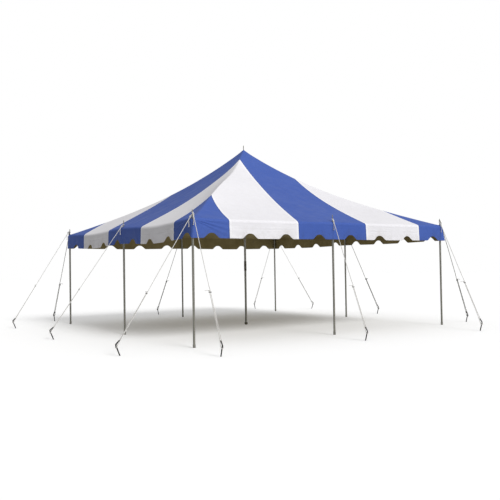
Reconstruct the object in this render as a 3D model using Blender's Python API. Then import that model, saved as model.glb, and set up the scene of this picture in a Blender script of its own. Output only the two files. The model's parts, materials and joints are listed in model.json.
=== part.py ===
"""Pole marquee tent with a striped canopy, 6.1 m square on its pole line.

Origin: the point on the ground under the middle of the tent. X runs to the right, Y to the back, Z up.
The front of the tent is at -Y. All values are metres.
"""
import math

import bpy
from mathutils import Vector

# Plan and heights
POLE_LINE = 3.048
EAVE_OUT = 0.040
PEAK_Z = 4.003
EAVE_Z = 2.134
SAG_TOP = 0.64
SAG_EAVE = 0.34
ROOF_STRIPS = 11

# The cloth stands up in a ridge along one hip, between its ends, and falls away to both sides of it
RIDGE_CORNER = "front_left"
RIDGE_START = 0.450
RIDGE_LENGTH = 2.600
RIDGE_HEIGHT = 0.150
RIDGE_SHARPNESS = 1.6
RIDGE_SPREAD = 1.200

# Canopy cloth
CLOTH = 0.005
SEAM_GAP = 0.0002
FOLD_SIZE = 0.012
VALANCE_DEPTH = 0.318
VALANCE_FLARE = 0.006
SCALLOP_HALF_WIDTH = 0.175
SCALLOP_RISE = 0.090
SCALLOP_ROUNDNESS = 1.35
SCALLOP_STEPS = (-1.0, -0.78, -0.56, -0.34, -0.12, 0.12, 0.34, 0.56, 0.78, 1.0)
PIN_HOLE_HALF = 0.0095

# Places of the four stripe edges along the eave, from the middle of a side towards its high end.
# The left side's cloth sits nearer to the front left corner than to the back left one.
REGULAR_EDGES = (-2.340, -0.870, 0.840, 2.330)
LEFT_EDGES = (-1.950, -0.515, 1.120, 2.450)
EDGES_AT_EAVE = {
    "front": REGULAR_EDGES,
    "right": REGULAR_EDGES,
    "back": REGULAR_EDGES,
    "left": LEFT_EDGES,
}

# Middles of the bites between the scallops, from the middle of a side towards its high end
REGULAR_BITES = (-2.707, -1.925, -1.143, -0.361, 0.421, 1.203, 1.985, 2.767)
LEFT_BITES = (-2.491, -1.578, -0.778, -0.041, 0.716, 1.488, 2.225, 2.928)
BITES = {"front": REGULAR_BITES, "right": REGULAR_BITES, "back": REGULAR_BITES, "left": LEFT_BITES}

# Distance from the middle of the tent at which the inner and the outer edge meet each hip
EDGES_ON_HIP = {
    "front_left": (0.320, 2.120),
    "front_right": (0.830, 2.160),
    "back_right": (0.830, 2.160),
    "back_left": (1.220, 2.350),
}

# Poles
POLE_RADIUS = 0.020
POLE_FOOT_RADIUS = 0.0235
POLE_FOOT_HEIGHT = 0.055
POLE_SIDES = 16
PIN_RADIUS = 0.008
PIN_SIDES = 10
SIDE_PIN_RISE = 0.140
PEAK_PIN_RISE = 0.095
CENTRE_POLE_RADIUS = 0.024
CENTRE_FOOT_RADIUS = 0.028
CENTRE_FOOT_HEIGHT = 0.060
FOOT_STEP = 0.003
PIN_TAPER = 0.006
PIN_TIP_SHARE = 0.55
JOINT_Z = 1.335
SLEEVE_LENGTH = 0.215
SLEEVE_WALL = 0.0035
CROWN_RADIUS = 0.080
CROWN_THICKNESS = 0.006
SEAT_GAP = 0.0003

# Guy ropes and stakes
ROPE_RADIUS = 0.0065
ROPE_SIDES = 8
RING_STEPS = 12
RING_SIDES = 6
RING_HEIGHT = 0.060
RING_STEP = 0.036
SLIDE_SHARE = 0.38
SLIDE_LENGTH = 0.055
SLIDE_RADIUS = 0.015
STRAND_GAP = 0.0012
LOOP_RADIUS = 0.020
LOOP_STEPS = 8
LOOP_GAP = 0.0007
LOOP_BELOW_BEND = 0.035
STAKE_RADIUS = 0.010
STAKE_SIDES = 8
STAKE_SHAFT = 0.190
STAKE_LEAN = math.radians(22)
ARM_LENGTH = 0.090
ARM_RISE = math.radians(40)
BEND_RADIUS = 0.022
BEND_STEPS = 4

FACES = ("front", "right", "back", "left")
OUTWARD = {
    "front": Vector((0, -1, 0)),
    "right": Vector((1, 0, 0)),
    "back": Vector((0, 1, 0)),
    "left": Vector((-1, 0, 0)),
}
# Places of the side poles, as shares of the pole line. The left middle pole stands off centre.
POLES = {
    "front_left": (-1, -1),
    "front_middle": (0, -1),
    "front_right": (1, -1),
    "right_middle": (1, 0),
    "back_right": (1, 1),
    "back_middle": (0, 1),
    "back_left": (-1, 1),
    "left_middle": (-1, -0.065),
}
# Each rope: its pole, the way it pulls, how far out its stake stands, and the shift along the side
GUY_LINES = (
    ("front_left", "left", 1.350, -0.10),
    ("front_left", "front", 1.205, -0.22),
    ("front_middle", "front", 1.093, -0.24),
    ("front_right", "front", 1.345, -0.48),
    ("front_right", "right", 0.933, 0.10),
    ("right_middle", "right", 1.320, 0.24),
    ("back_right", "right", 1.415, 0.08),
    ("back_right", "back", 1.343, 0.20),
    ("back_middle", "back", 1.330, -0.06),
    ("back_left", "back", 1.180, -0.01),
    ("back_left", "left", 1.340, -0.20),
    ("left_middle", "left", 1.415, 0.07),
)

EAVE = POLE_LINE + EAVE_OUT
ROOF_END = EAVE - FOLD_SIZE
Z_AXIS = Vector((0, 0, 1))


def clear_scene():
    for item in list(bpy.data.objects):
        bpy.data.objects.remove(item, do_unlink=True)


def material(name, colour, roughness, metallic=0.0):
    made = bpy.data.materials.new(name)
    made.use_nodes = True
    shader = made.node_tree.nodes["Principled BSDF"]
    shader.inputs["Base Color"].default_value = (*colour, 1.0)
    shader.inputs["Roughness"].default_value = roughness
    shader.inputs["Metallic"].default_value = metallic
    return made


def add_object(name, points, faces, finish, parent, smooth=True):
    """One closed body from its points and outward faces."""
    mesh = bpy.data.meshes.new(name)
    mesh.from_pydata([tuple(point) for point in points], [], faces)
    mesh.validate()
    if finish is not None:
        mesh.materials.append(finish)
    if smooth:
        mesh.shade_smooth()
        mesh.set_sharp_from_angle(angle=math.radians(35))
    made = bpy.data.objects.new(name, mesh)
    made.parent = parent
    bpy.context.collection.objects.link(made)
    return made


def add_guide(name, points, faces):
    """A closed shape that only cuts or joins another piece."""
    guide = add_object(name, points, faces, None, None, smooth=False)
    guide.hide_render = True
    guide.display_type = "WIRE"
    return guide


def combine(piece, guide, operation):
    modifier = piece.modifiers.new(guide.name, "BOOLEAN")
    modifier.operation = operation
    modifier.object = guide
    modifier.solver = "EXACT"


# Basic round shapes
def turned(profile, sides, base=Vector((0, 0, 0))):
    """A solid turned about Z from (radius, height) pairs listed from the bottom up."""
    points = []
    faces = []
    for radius, height in profile:
        for step in range(sides):
            angle = math.tau * (step + 0.5) / sides
            points.append(base + Vector((radius * math.cos(angle), radius * math.sin(angle), height)))
    for ring in range(len(profile) - 1):
        low = ring * sides
        high = low + sides
        for step in range(sides):
            after = (step + 1) % sides
            faces.append((low + step, low + after, high + after, high + step))
    faces.append(tuple(reversed(range(sides))))
    top = (len(profile) - 1) * sides
    faces.append(tuple(range(top, top + sides)))
    return points, faces


def turned_ring(profile, sides, base=Vector((0, 0, 0))):
    """A ring turned about Z from a closed loop of (radius, height), walking up the outside first."""
    points, _ = turned(profile, sides, base)
    faces = []
    count = len(profile)
    for ring in range(count):
        low = ring * sides
        high = ((ring + 1) % count) * sides
        for step in range(sides):
            after = (step + 1) % sides
            faces.append((low + step, low + after, high + after, high + step))
    return points, faces


def cross_frame(axis):
    """Two unit vectors square to an axis and to each other."""
    helper = Z_AXIS if abs(axis.z) < 0.9 else Vector((1, 0, 0))
    side = axis.cross(helper).normalized()
    return side, axis.cross(side).normalized()


def tube(path, radius, sides, start_normal=None):
    """A round bar along straight runs. Each ring lies in the mitre plane between two runs."""
    runs = [(path[i + 1] - path[i]).normalized() for i in range(len(path) - 1)]
    normals = [start_normal or runs[0]]
    normals += [(runs[i - 1] + runs[i]).normalized() for i in range(1, len(runs))]
    normals.append(runs[-1])
    side, up = cross_frame(runs[0])
    ring = []
    for step in range(sides):
        angle = math.tau * (step + 0.5) / sides
        ring.append(path[0] + radius * (math.cos(angle) * side + math.sin(angle) * up))
    points = []
    for index, centre in enumerate(path):
        run = runs[max(index - 1, 0)]
        normal = normals[index]
        ring = [p + run * ((centre - p).dot(normal) / run.dot(normal)) for p in ring]
        points.extend(ring)
    faces = []
    for index in range(len(path) - 1):
        low = index * sides
        high = low + sides
        for step in range(sides):
            after = (step + 1) % sides
            faces.append((low + step, low + after, high + after, high + step))
    faces.append(tuple(reversed(range(sides))))
    last = (len(path) - 1) * sides
    faces.append(tuple(range(last, last + sides)))
    return points, faces


def torus(centre, axis, radius, wire):
    """A ring of round wire about an axis."""
    side, up = cross_frame(axis)
    points = []
    faces = []
    for step in range(RING_STEPS):
        around = math.tau * (step + 0.5) / RING_STEPS
        out = math.cos(around) * side + math.sin(around) * up
        for turn in range(RING_SIDES):
            angle = math.tau * (turn + 0.5) / RING_SIDES
            points.append(centre + (radius + wire * math.cos(angle)) * out + wire * math.sin(angle) * axis)
    for step in range(RING_STEPS):
        low = step * RING_SIDES
        high = ((step + 1) % RING_STEPS) * RING_SIDES
        for turn in range(RING_SIDES):
            after = (turn + 1) % RING_SIDES
            faces.append((low + turn, high + turn, high + after, low + after))
    return points, faces


def rounded_corner(before, corner, after, radius, steps):
    """Points of the arc that replaces a corner."""
    back = (before - corner).normalized()
    ahead = (after - corner).normalized()
    half = back.angle(ahead) / 2
    centre = corner + (back + ahead).normalized() * radius / math.sin(half)
    first = corner + back * radius / math.tan(half) - centre
    last = corner + ahead * radius / math.tan(half) - centre
    turn = first.angle(last)
    arc = []
    for step in range(steps + 1):
        share = step / steps
        blend = (math.sin((1 - share) * turn) * first + math.sin(share * turn) * last) / math.sin(turn)
        arc.append(centre + blend)
    return arc


# Canopy
def roof_z(distance):
    """Height of the cloth's upper face: concave, steeper towards the peak."""
    share = distance / EAVE
    sag = SAG_TOP + (SAG_EAVE - SAG_TOP) * share
    return EAVE_Z + (PEAK_Z - EAVE_Z) * (1 - share) * (1 - sag * share)


def scallop_rise(along, bites):
    """How far the lower edge of the valance rises at a place on the side."""
    offset = min(abs(along - bite) for bite in bites) / SCALLOP_HALF_WIDTH
    if offset >= 1:
        return 0.0
    return SCALLOP_RISE * 0.5 * (1 + math.cos(math.pi * offset ** SCALLOP_ROUNDNESS))


def lower_edge_places(low, high, bites):
    """Places along a side, from low to high, where the lower edge needs a point."""
    places = {low, high}
    for bite in bites:
        for step in SCALLOP_STEPS:
            place = bite + step * SCALLOP_HALF_WIDTH
            if low < place < high:
                places.add(place)
    return sorted(places)


class Leg:
    """The part of a cloth panel that lies on one side of the tent.

    along is measured from the middle of the side, out is measured from the middle of the tent.
    """

    def __init__(self, face):
        self.outward = OUTWARD[face]
        self.sideways = Z_AXIS.cross(self.outward)
        self.bites = BITES[face]
        low_end, high_end = hip_names(face)
        self.ridge_end = {low_end: -1, high_end: 1}.get(RIDGE_CORNER, 0)

    def point(self, along, out, height):
        return self.sideways * along + self.outward * out + Z_AXIS * height

    def pair(self, along, out, height, inner_out, inner_height, on_hip):
        """The outer and inner point of the cloth at one place."""
        inner_along = math.copysign(inner_out, along) if on_hip else along
        return self.point(along, out, height), self.point(inner_along, inner_out, inner_height)

    def ridge_z(self, along, out):
        """Height that the ridge adds: a hump along the hip that fades evenly to the sides."""
        if self.ridge_end * along <= 0:
            return 0.0
        share = min(max((out - RIDGE_START) / RIDGE_LENGTH, 0.0), 1.0)
        fade = max(1 - (out - abs(along)) / RIDGE_SPREAD, 0.0)
        return RIDGE_HEIGHT * math.sin(math.pi * share) ** RIDGE_SHARPNESS * fade

    def roof(self, along, out, on_hip=False):
        height = roof_z(out) + self.ridge_z(along, out)
        return self.pair(along, out, height, out, height - CLOTH, on_hip)

    def fold(self, along, on_hip=False):
        height = EAVE_Z - FOLD_SIZE
        return self.pair(along, EAVE, height, EAVE - CLOTH, height - CLOTH / 2, on_hip)

    def hem(self, along, on_hip=False):
        depth = VALANCE_DEPTH - scallop_rise(along, self.bites)
        out = EAVE + VALANCE_FLARE * depth / VALANCE_DEPTH
        height = EAVE_Z - depth
        return self.pair(along, out, height, out - CLOTH, height, on_hip)


def stripe_edge(distance, on_hip, at_eave):
    """Place along the side of a stripe's edge: straight from the hip to the eave, then straight down."""
    if distance <= on_hip:
        return distance
    share = min((distance - on_hip) / (ROOF_END - on_hip), 1.0)
    return on_hip + (at_eave - on_hip) * share


def edge_start(on_hip, at_eave, inset):
    """Distance from the middle at which an edge set over by inset leaves the hip."""
    slope = (at_eave - on_hip) / (ROOF_END - on_hip)
    return on_hip + inset / (1 - slope)


def roof_rows(start, breaks=()):
    """Distances from the middle at which a panel has a row of points."""
    inner = PIN_HOLE_HALF
    step = (ROOF_END - inner) / ROOF_STRIPS
    rows = {inner + step * index for index in range(1, ROOF_STRIPS)}
    rows = {row for row in rows if row > start + step * 0.2}
    for place in breaks:
        rows = {row for row in rows if abs(row - place) > step * 0.2}
        rows.add(place)
    rows.add(start)
    rows.add(ROOF_END)
    return sorted(rows)


def shell(name, panels, finish, parent):
    """A thin closed body from polygons of (outer, inner) point pairs, walled along every free edge."""
    outer = []
    inner = []
    index_of = {}

    def index(pair):
        key = tuple(round(value, 6) for value in pair[0])
        if key not in index_of:
            index_of[key] = len(outer)
            outer.append(pair[0])
            inner.append(pair[1])
        return index_of[key]

    skins = [tuple(dict.fromkeys(index(pair) for pair in polygon)) for polygon in panels]
    skins = [skin for skin in skins if len(skin) > 2]
    count = len(outer)
    faces = list(skins)
    faces += [tuple(count + i for i in reversed(skin)) for skin in skins]
    edges = [(skin[i], skin[(i + 1) % len(skin)]) for skin in skins for i in range(len(skin))]
    known = set(edges)
    for start, end in edges:
        if (end, start) not in known:
            faces.append((end, start, count + start, count + end))
    return add_object(name, outer + inner, faces, finish, parent)


def leg_polygons(leg, rows, edges, hips):
    """Polygons of one leg, from its top row to its hem.

    edges gives the low and high place along the side for a distance from the middle, and hips says
    for each of them whether it lies on a hip that the panel runs over.
    """
    def ends(distance, make):
        low, high = edges(distance)
        on_low, on_high = hips(distance)
        return make(low, on_low), make(high, on_high)

    polygons = []
    for upper, lower in zip(rows[:-1], rows[1:]):
        top = ends(upper, lambda place, hip: leg.roof(place, upper, hip))
        bottom = ends(lower, lambda place, hip: leg.roof(place, lower, hip))
        if leg.ridge_end:
            polygons.append((top[0], bottom[0], bottom[1]))
            polygons.append((top[0], bottom[1], top[1]))
        else:
            polygons.append((top[0], bottom[0], bottom[1], top[1]))
    roof_end = ends(ROOF_END, lambda place, hip: leg.roof(place, ROOF_END, hip))
    fold = ends(EAVE, leg.fold)
    polygons.append((roof_end[0], fold[0], fold[1], roof_end[1]))
    low, high = edges(EAVE + VALANCE_FLARE)
    on_low, on_high = hips(EAVE)
    hem = []
    for place in lower_edge_places(low, high, leg.bites):
        on_hip = (place == low and on_low) or (place == high and on_high)
        hem.append(leg.hem(place, on_hip))
    polygons.append((fold[0], *hem, fold[1]))
    return polygons


def bounded(distance, on_hip, at_eave, inset):
    """A stripe's edge set over by inset, kept inside the hip."""
    return min(stripe_edge(distance, on_hip, at_eave) + inset, distance)


def hip_names(face):
    """The corners at the low and high end of a side, seen along its sideways direction."""
    return {
        "front": ("front_left", "front_right"),
        "right": ("front_right", "back_right"),
        "back": ("back_right", "back_left"),
        "left": ("back_left", "front_left"),
    }[face]


def centre_panel(face, finish, parent):
    """The middle stripe of a side, from the peak to the hem."""
    leg = Leg(face)
    low_hip, high_hip = (EDGES_ON_HIP[name][0] for name in hip_names(face))
    _, low_eave, high_eave, _ = EDGES_AT_EAVE[face]

    def edges(distance):
        low = bounded(distance, low_hip, -low_eave, 0.0) - SEAM_GAP
        high = bounded(distance, high_hip, high_eave, 0.0) - SEAM_GAP
        return -low, high

    def hips(_):
        return False, False

    rows = roof_rows(PIN_HOLE_HALF, (CROWN_RADIUS, low_hip, high_hip))
    polygons = leg_polygons(leg, rows, edges, hips)
    panel = shell(f"canopy_centre_{face}", polygons, finish, parent)
    pole = POLES[f"{face}_middle"]
    cut_pin_hole(panel, Vector((pole[0] * POLE_LINE, pole[1] * POLE_LINE, 0)))
    return panel


def corner_legs(corner):
    """The two sides that meet at a corner: first the one that ends there, then the one that starts."""
    ending = next(face for face in FACES if hip_names(face)[1] == corner)
    starting = next(face for face in FACES if hip_names(face)[0] == corner)
    return ending, starting


def corner_edges(corner):
    """Eave places of the (inner, outer) edges on a corner's two sides, as distances from their middles."""
    ending, starting = corner_legs(corner)
    _, _, inner, outer = EDGES_AT_EAVE[ending]
    far_outer, far_inner, _, _ = EDGES_AT_EAVE[starting]
    return (inner, outer), (-far_inner, -far_outer)


def white_panel(corner, finish, parent):
    """The light stripe on both sides of a hip, one piece where it crosses the hip."""
    inner_hip, outer_hip = EDGES_ON_HIP[corner]
    eaves = corner_edges(corner)
    top = max(edge_start(inner_hip, inner_eave, SEAM_GAP) for inner_eave, _ in eaves)
    notch = max(edge_start(outer_hip, outer_eave, -SEAM_GAP) for _, outer_eave in eaves)
    rows = roof_rows(top, (notch,))

    def inner(distance, at_eave):
        if distance <= top:
            return distance
        return bounded(distance, inner_hip, at_eave, SEAM_GAP)

    def outer(distance, at_eave):
        if distance <= notch:
            return distance
        return bounded(distance, outer_hip, at_eave, -SEAM_GAP)

    ending, starting = corner_legs(corner)
    (end_inner, end_outer), (start_inner, start_outer) = eaves
    polygons = leg_polygons(
        Leg(ending),
        rows,
        lambda distance: (inner(distance, end_inner), outer(distance, end_outer)),
        lambda distance: (distance <= top, distance <= notch),
    )
    polygons += leg_polygons(
        Leg(starting),
        rows,
        lambda distance: (-outer(distance, start_outer), -inner(distance, start_inner)),
        lambda distance: (distance <= notch, distance <= top),
    )
    return shell(f"canopy_white_{corner}", polygons, finish, parent)


def corner_panel(corner, finish, parent):
    """The corner stripe, folded over the hip and round the corner pole."""
    hip = EDGES_ON_HIP[corner][1]
    (_, end_eave), (_, start_eave) = corner_edges(corner)
    top = max(edge_start(hip, eave, SEAM_GAP) for eave in (end_eave, start_eave))
    rows = roof_rows(top)

    def inner(distance, at_eave):
        if distance <= top:
            return distance
        return bounded(distance, hip, at_eave, SEAM_GAP)

    ending, starting = corner_legs(corner)
    polygons = leg_polygons(
        Leg(ending),
        rows,
        lambda distance: (inner(distance, end_eave), distance),
        lambda distance: (distance <= top, True),
    )
    polygons += leg_polygons(
        Leg(starting),
        rows,
        lambda distance: (-distance, -inner(distance, start_eave)),
        lambda distance: (True, distance <= top),
    )
    panel = shell(f"canopy_corner_{corner}", polygons, finish, parent)
    pole = POLES[corner]
    cut_pin_hole(panel, Vector((pole[0] * POLE_LINE, pole[1] * POLE_LINE, 0)))
    return panel


def cut_pin_hole(panel, place):
    low = EAVE_Z - 0.05
    high = EAVE_Z + 0.10
    points, faces = turned([(PIN_HOLE_HALF, low), (PIN_HOLE_HALF, high)], PIN_SIDES, place)
    combine(panel, add_guide(f"hole_{panel.name}", points, faces), "DIFFERENCE")


# Poles
def seat_z(middle, radius):
    """Height of a flat round top that comes up just below the cloth.

    middle is how far its axis stands from the middle of the tent.
    """
    reach = middle + radius * math.cos(math.pi / POLE_SIDES)
    return roof_z(reach) - CLOTH - SEAT_GAP


def side_pole(name, place, finish, parent):
    top = seat_z(POLE_LINE, POLE_RADIUS)
    tip = roof_z(POLE_LINE) + SIDE_PIN_RISE
    profile = [
        (POLE_FOOT_RADIUS, 0.0),
        (POLE_FOOT_RADIUS, POLE_FOOT_HEIGHT),
        (POLE_RADIUS, POLE_FOOT_HEIGHT + FOOT_STEP),
        (POLE_RADIUS, top),
        (PIN_RADIUS, top),
        (PIN_RADIUS, tip - PIN_TAPER),
        (PIN_RADIUS * PIN_TIP_SHARE, tip),
    ]
    points, faces = turned(profile, POLE_SIDES)
    made = add_object(f"side_pole_{name}", points, faces, finish, parent)
    made.location = (place[0] * POLE_LINE, place[1] * POLE_LINE, 0)
    return made


def crown_plate(finish, parent):
    top = seat_z(0, CROWN_RADIUS)
    bottom = top - CROWN_THICKNESS
    bore = PIN_RADIUS + SEAT_GAP
    loop = [(CROWN_RADIUS, bottom), (CROWN_RADIUS, top), (bore, top), (bore, bottom)]
    points, faces = turned_ring(loop, POLE_SIDES)
    add_object("crown_plate", points, faces, finish, parent)
    return bottom


def centre_pole(plate_bottom, steel, dark_steel, parent):
    top = plate_bottom - SEAT_GAP
    tip = PEAK_Z + PEAK_PIN_RISE
    lower = [
        (CENTRE_FOOT_RADIUS, 0.0),
        (CENTRE_FOOT_RADIUS, CENTRE_FOOT_HEIGHT),
        (CENTRE_POLE_RADIUS, CENTRE_FOOT_HEIGHT + FOOT_STEP),
        (CENTRE_POLE_RADIUS, JOINT_Z - SEAT_GAP / 2),
    ]
    upper = [
        (CENTRE_POLE_RADIUS, JOINT_Z + SEAT_GAP / 2),
        (CENTRE_POLE_RADIUS, top),
        (PIN_RADIUS, top),
        (PIN_RADIUS, tip - PIN_TAPER),
        (PIN_RADIUS * PIN_TIP_SHARE, tip),
    ]
    add_object("centre_pole_lower", *turned(lower, POLE_SIDES), steel, parent)
    add_object("centre_pole_upper", *turned(upper, POLE_SIDES), steel, parent)
    low = JOINT_Z - SLEEVE_LENGTH / 2
    high = JOINT_Z + SLEEVE_LENGTH / 2
    bore = CENTRE_POLE_RADIUS + SEAT_GAP
    outside = bore + SLEEVE_WALL
    loop = [(outside, low), (outside, high), (bore, high), (bore, low)]
    add_object("centre_pole_sleeve", *turned_ring(loop, POLE_SIDES), dark_steel, parent)


# Guy ropes and stakes
class GuyLine:
    """Where one rope and its stake stand."""

    def __init__(self, pole, pull, distance, shift, level):
        self.name = f"{pole}_to_{pull}" if "middle" not in pole else pole
        outward = OUTWARD[pull]
        place = POLES[pole]
        pin = Vector((place[0] * POLE_LINE, place[1] * POLE_LINE, 0))
        sideways = Vector((abs(outward.y), abs(outward.x), 0))
        self.ground = pin + outward * distance + sideways * shift
        self.ring = pin.copy()
        # Each ring sits high enough on the pin for its rope to clear the eave and the ring below
        self.ring.z = roof_z(POLE_LINE) + RING_HEIGHT + level * RING_STEP
        # The shaft leans away from the rope's upper end, and its arm points back at it
        inward = self.ring - self.ground
        inward.z = 0
        inward.normalize()
        self.top = self.ring - inward * (PIN_RADIUS + SEAT_GAP + ROPE_RADIUS)
        self.lean = math.cos(STAKE_LEAN) * Z_AXIS - math.sin(STAKE_LEAN) * inward
        self.head = self.ground + STAKE_SHAFT * self.lean
        self.arm_end = self.head + ARM_LENGTH * (math.cos(ARM_RISE) * inward + math.sin(ARM_RISE) * Z_AXIS)
        # The rope's loop goes round the back of the shaft, below the bend
        on_shaft = self.head - LOOP_BELOW_BEND * self.lean
        self.pull = (self.top - on_shaft).normalized()
        behind = (STAKE_RADIUS + LOOP_GAP + ROPE_RADIUS) / math.sin(self.lean.angle(self.pull))
        self.loop_centre = on_shaft + self.pull * (LOOP_RADIUS - behind)
        self.across = self.pull.cross(Z_AXIS).normalized()
        self.slide = self.loop_centre.lerp(self.top, SLIDE_SHARE)


def stake(line, finish, parent):
    bend = rounded_corner(line.ground, line.head, line.arm_end, BEND_RADIUS, BEND_STEPS)
    path = [line.ground, *bend, line.arm_end]
    points, faces = tube(path, STAKE_RADIUS, STAKE_SIDES, start_normal=Z_AXIS)
    return add_object(f"stake_{line.name}", points, faces, finish, parent)


def rope_strands(line):
    """Path of the doubled lower part: down from the slide, round the shaft and up again."""
    strand_offset = line.across * (ROPE_RADIUS + STRAND_GAP / 2)
    path = [line.slide + strand_offset]
    for step in range(LOOP_STEPS + 1):
        angle = math.pi * step / LOOP_STEPS
        path.append(
            line.loop_centre
            + LOOP_RADIUS * (math.cos(angle) * line.across - math.sin(angle) * line.pull)
        )
    path.append(line.slide - strand_offset)
    return path


def guy_rope(line, finish, parent):
    points, faces = tube([line.slide, line.top], ROPE_RADIUS, ROPE_SIDES)
    made = add_object(f"guy_rope_{line.name}", points, faces, finish, parent)
    half_slide = line.pull * SLIDE_LENGTH / 2
    slide_path = [line.slide - half_slide, line.slide + half_slide]
    guides = {
        "strands": tube(rope_strands(line), ROPE_RADIUS, ROPE_SIDES),
        "slide": tube(slide_path, SLIDE_RADIUS, ROPE_SIDES),
        "ring": torus(line.ring, Z_AXIS, (line.top - line.ring).length, ROPE_RADIUS),
    }
    for part, (points, faces) in guides.items():
        combine(made, add_guide(f"{part}_{line.name}", points, faces), "UNION")
    return made


def main():
    clear_scene()
    root = bpy.data.objects.new("marquee_tent", None)
    bpy.context.collection.objects.link(root)
    blue = material("blue vinyl", (0.075, 0.150, 0.460), 0.45)
    white = material("white vinyl", (0.860, 0.850, 0.870), 0.45)
    steel = material("galvanised steel", (0.430, 0.430, 0.440), 0.38, 0.9)
    dark_steel = material("dark steel", (0.120, 0.120, 0.130), 0.45, 0.8)
    stake_steel = material("stake steel", (0.080, 0.080, 0.085), 0.55, 0.7)
    rope = material("white rope", (0.820, 0.820, 0.830), 0.70)

    for face in FACES:
        centre_panel(face, blue, root)
    for corner in EDGES_ON_HIP:
        white_panel(corner, white, root)
        corner_panel(corner, blue, root)
    centre_pole(crown_plate(dark_steel, root), steel, dark_steel, root)
    for name, place in POLES.items():
        side_pole(name, place, steel, root)
    ropes_on_pin = {}
    for pole, pull, distance, shift in GUY_LINES:
        level = ropes_on_pin.get(pole, 0)
        ropes_on_pin[pole] = level + 1
        line = GuyLine(pole, pull, distance, shift, level)
        stake(line, stake_steel, root)
        guy_rope(line, rope, root)


main()
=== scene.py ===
import json
import math

import bmesh
import bpy
import numpy as np
from mathutils import Matrix

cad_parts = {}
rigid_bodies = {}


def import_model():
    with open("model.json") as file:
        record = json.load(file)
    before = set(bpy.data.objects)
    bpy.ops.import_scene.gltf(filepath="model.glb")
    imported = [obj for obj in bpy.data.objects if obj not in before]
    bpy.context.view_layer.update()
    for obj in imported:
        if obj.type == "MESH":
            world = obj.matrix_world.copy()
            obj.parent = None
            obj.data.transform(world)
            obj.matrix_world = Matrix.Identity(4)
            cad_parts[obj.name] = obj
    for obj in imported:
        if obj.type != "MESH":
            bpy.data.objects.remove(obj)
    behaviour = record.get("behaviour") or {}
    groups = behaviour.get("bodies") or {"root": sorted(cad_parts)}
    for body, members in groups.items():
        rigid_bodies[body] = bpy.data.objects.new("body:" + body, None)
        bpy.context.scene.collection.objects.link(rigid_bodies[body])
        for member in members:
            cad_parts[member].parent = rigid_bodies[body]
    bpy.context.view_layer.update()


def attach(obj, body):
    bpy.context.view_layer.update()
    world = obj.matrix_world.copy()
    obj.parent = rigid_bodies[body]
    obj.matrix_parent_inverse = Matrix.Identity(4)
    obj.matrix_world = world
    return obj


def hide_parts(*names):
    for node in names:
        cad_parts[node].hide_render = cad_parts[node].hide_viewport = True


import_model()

# Plan and heights of the tent, in metres, as in the part but for a narrower ridge
POLE_LINE = 3.048
EAVE = 3.088
ROOF_END = 3.076
PEAK_Z = 4.003
EAVE_Z = 2.134
SAG_TOP = 0.64
SAG_EAVE = 0.34
RIDGE_CORNER = "front_left"
RIDGE_START = 0.450
RIDGE_LENGTH = 2.600
RIDGE_HEIGHT = 0.150
RIDGE_SHARPNESS = 1.6
RIDGE_SPREAD = 0.55
RIDGE_MIDDLE_FADE = 0.6
VALANCE_DEPTH = 0.318
VALANCE_FLARE = 0.006
SCALLOP_HALF_WIDTH = 0.175
SCALLOP_RISE = 0.090
SCALLOP_ROUNDNESS = 1.35
REGULAR_EDGES = (-2.340, -0.870, 0.840, 2.330)
EDGES_AT_EAVE = {
    "front": REGULAR_EDGES,
    "right": REGULAR_EDGES,
    "back": REGULAR_EDGES,
    "left": (-1.950, -0.515, 1.120, 2.450),
}
REGULAR_BITES = (-2.707, -1.925, -1.143, -0.361, 0.421, 1.203, 1.985, 2.767)
LEFT_BITES = (-2.491, -1.578, -0.778, -0.041, 0.716, 1.488, 2.225, 2.928)
BITES = {"front": REGULAR_BITES, "right": REGULAR_BITES, "back": REGULAR_BITES, "left": LEFT_BITES}
EDGES_ON_HIP = {
    "front_left": (0.320, 2.120),
    "front_right": (0.830, 2.160),
    "back_right": (0.830, 2.160),
    "back_left": (1.220, 2.350),
}
# Power of the way down by which each of a side's four seams turns to its place at the eave: 1 is straight
SEAM_BOW = {
    "front": (0.8, 1.35, 1.0, 1.0),
    "right": (1.0, 1.0, 1.0, 1.0),
    "back": (1.0, 1.0, 1.2, 1.2),
    "left": (1.3, 1.8, 1.0, 1.3),
}

# Poles, ropes and stakes, as in the part
POLE_RADIUS = 0.020
POLE_FOOT_RADIUS = 0.0235
POLE_FOOT_HEIGHT = 0.055
CLOTH = 0.005
SEAT_GAP = 0.0003
PIN_RADIUS = 0.008
PIN_HOLE_HALF = 0.0095
SIDE_PIN_RISE = 0.140
PEAK_PIN_RISE = 0.095
CENTRE_POLE_RADIUS = 0.024
CENTRE_FOOT_RADIUS = 0.028
CENTRE_FOOT_HEIGHT = 0.060
SEAT_SIDES = 16
JOINT_Z = 1.335
SLEEVE_LENGTH = 0.215
SLEEVE_WALL = 0.0035
CROWN_RADIUS = 0.080
CROWN_THICKNESS = 0.006
ROPE_RADIUS = 0.0065
RING_HEIGHT = 0.060
RING_STEP = 0.036
SLIDE_SHARE = 0.38
LOOP_RADIUS = 0.020
LOOP_GAP = 0.0007
LOOP_BELOW_BEND = 0.035
STAKE_RADIUS = 0.010
STAKE_SHAFT = 0.190
STAKE_LEAN = math.radians(22)
ARM_LENGTH = 0.090
ARM_RISE = math.radians(40)
BEND_RADIUS = 0.022

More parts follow.
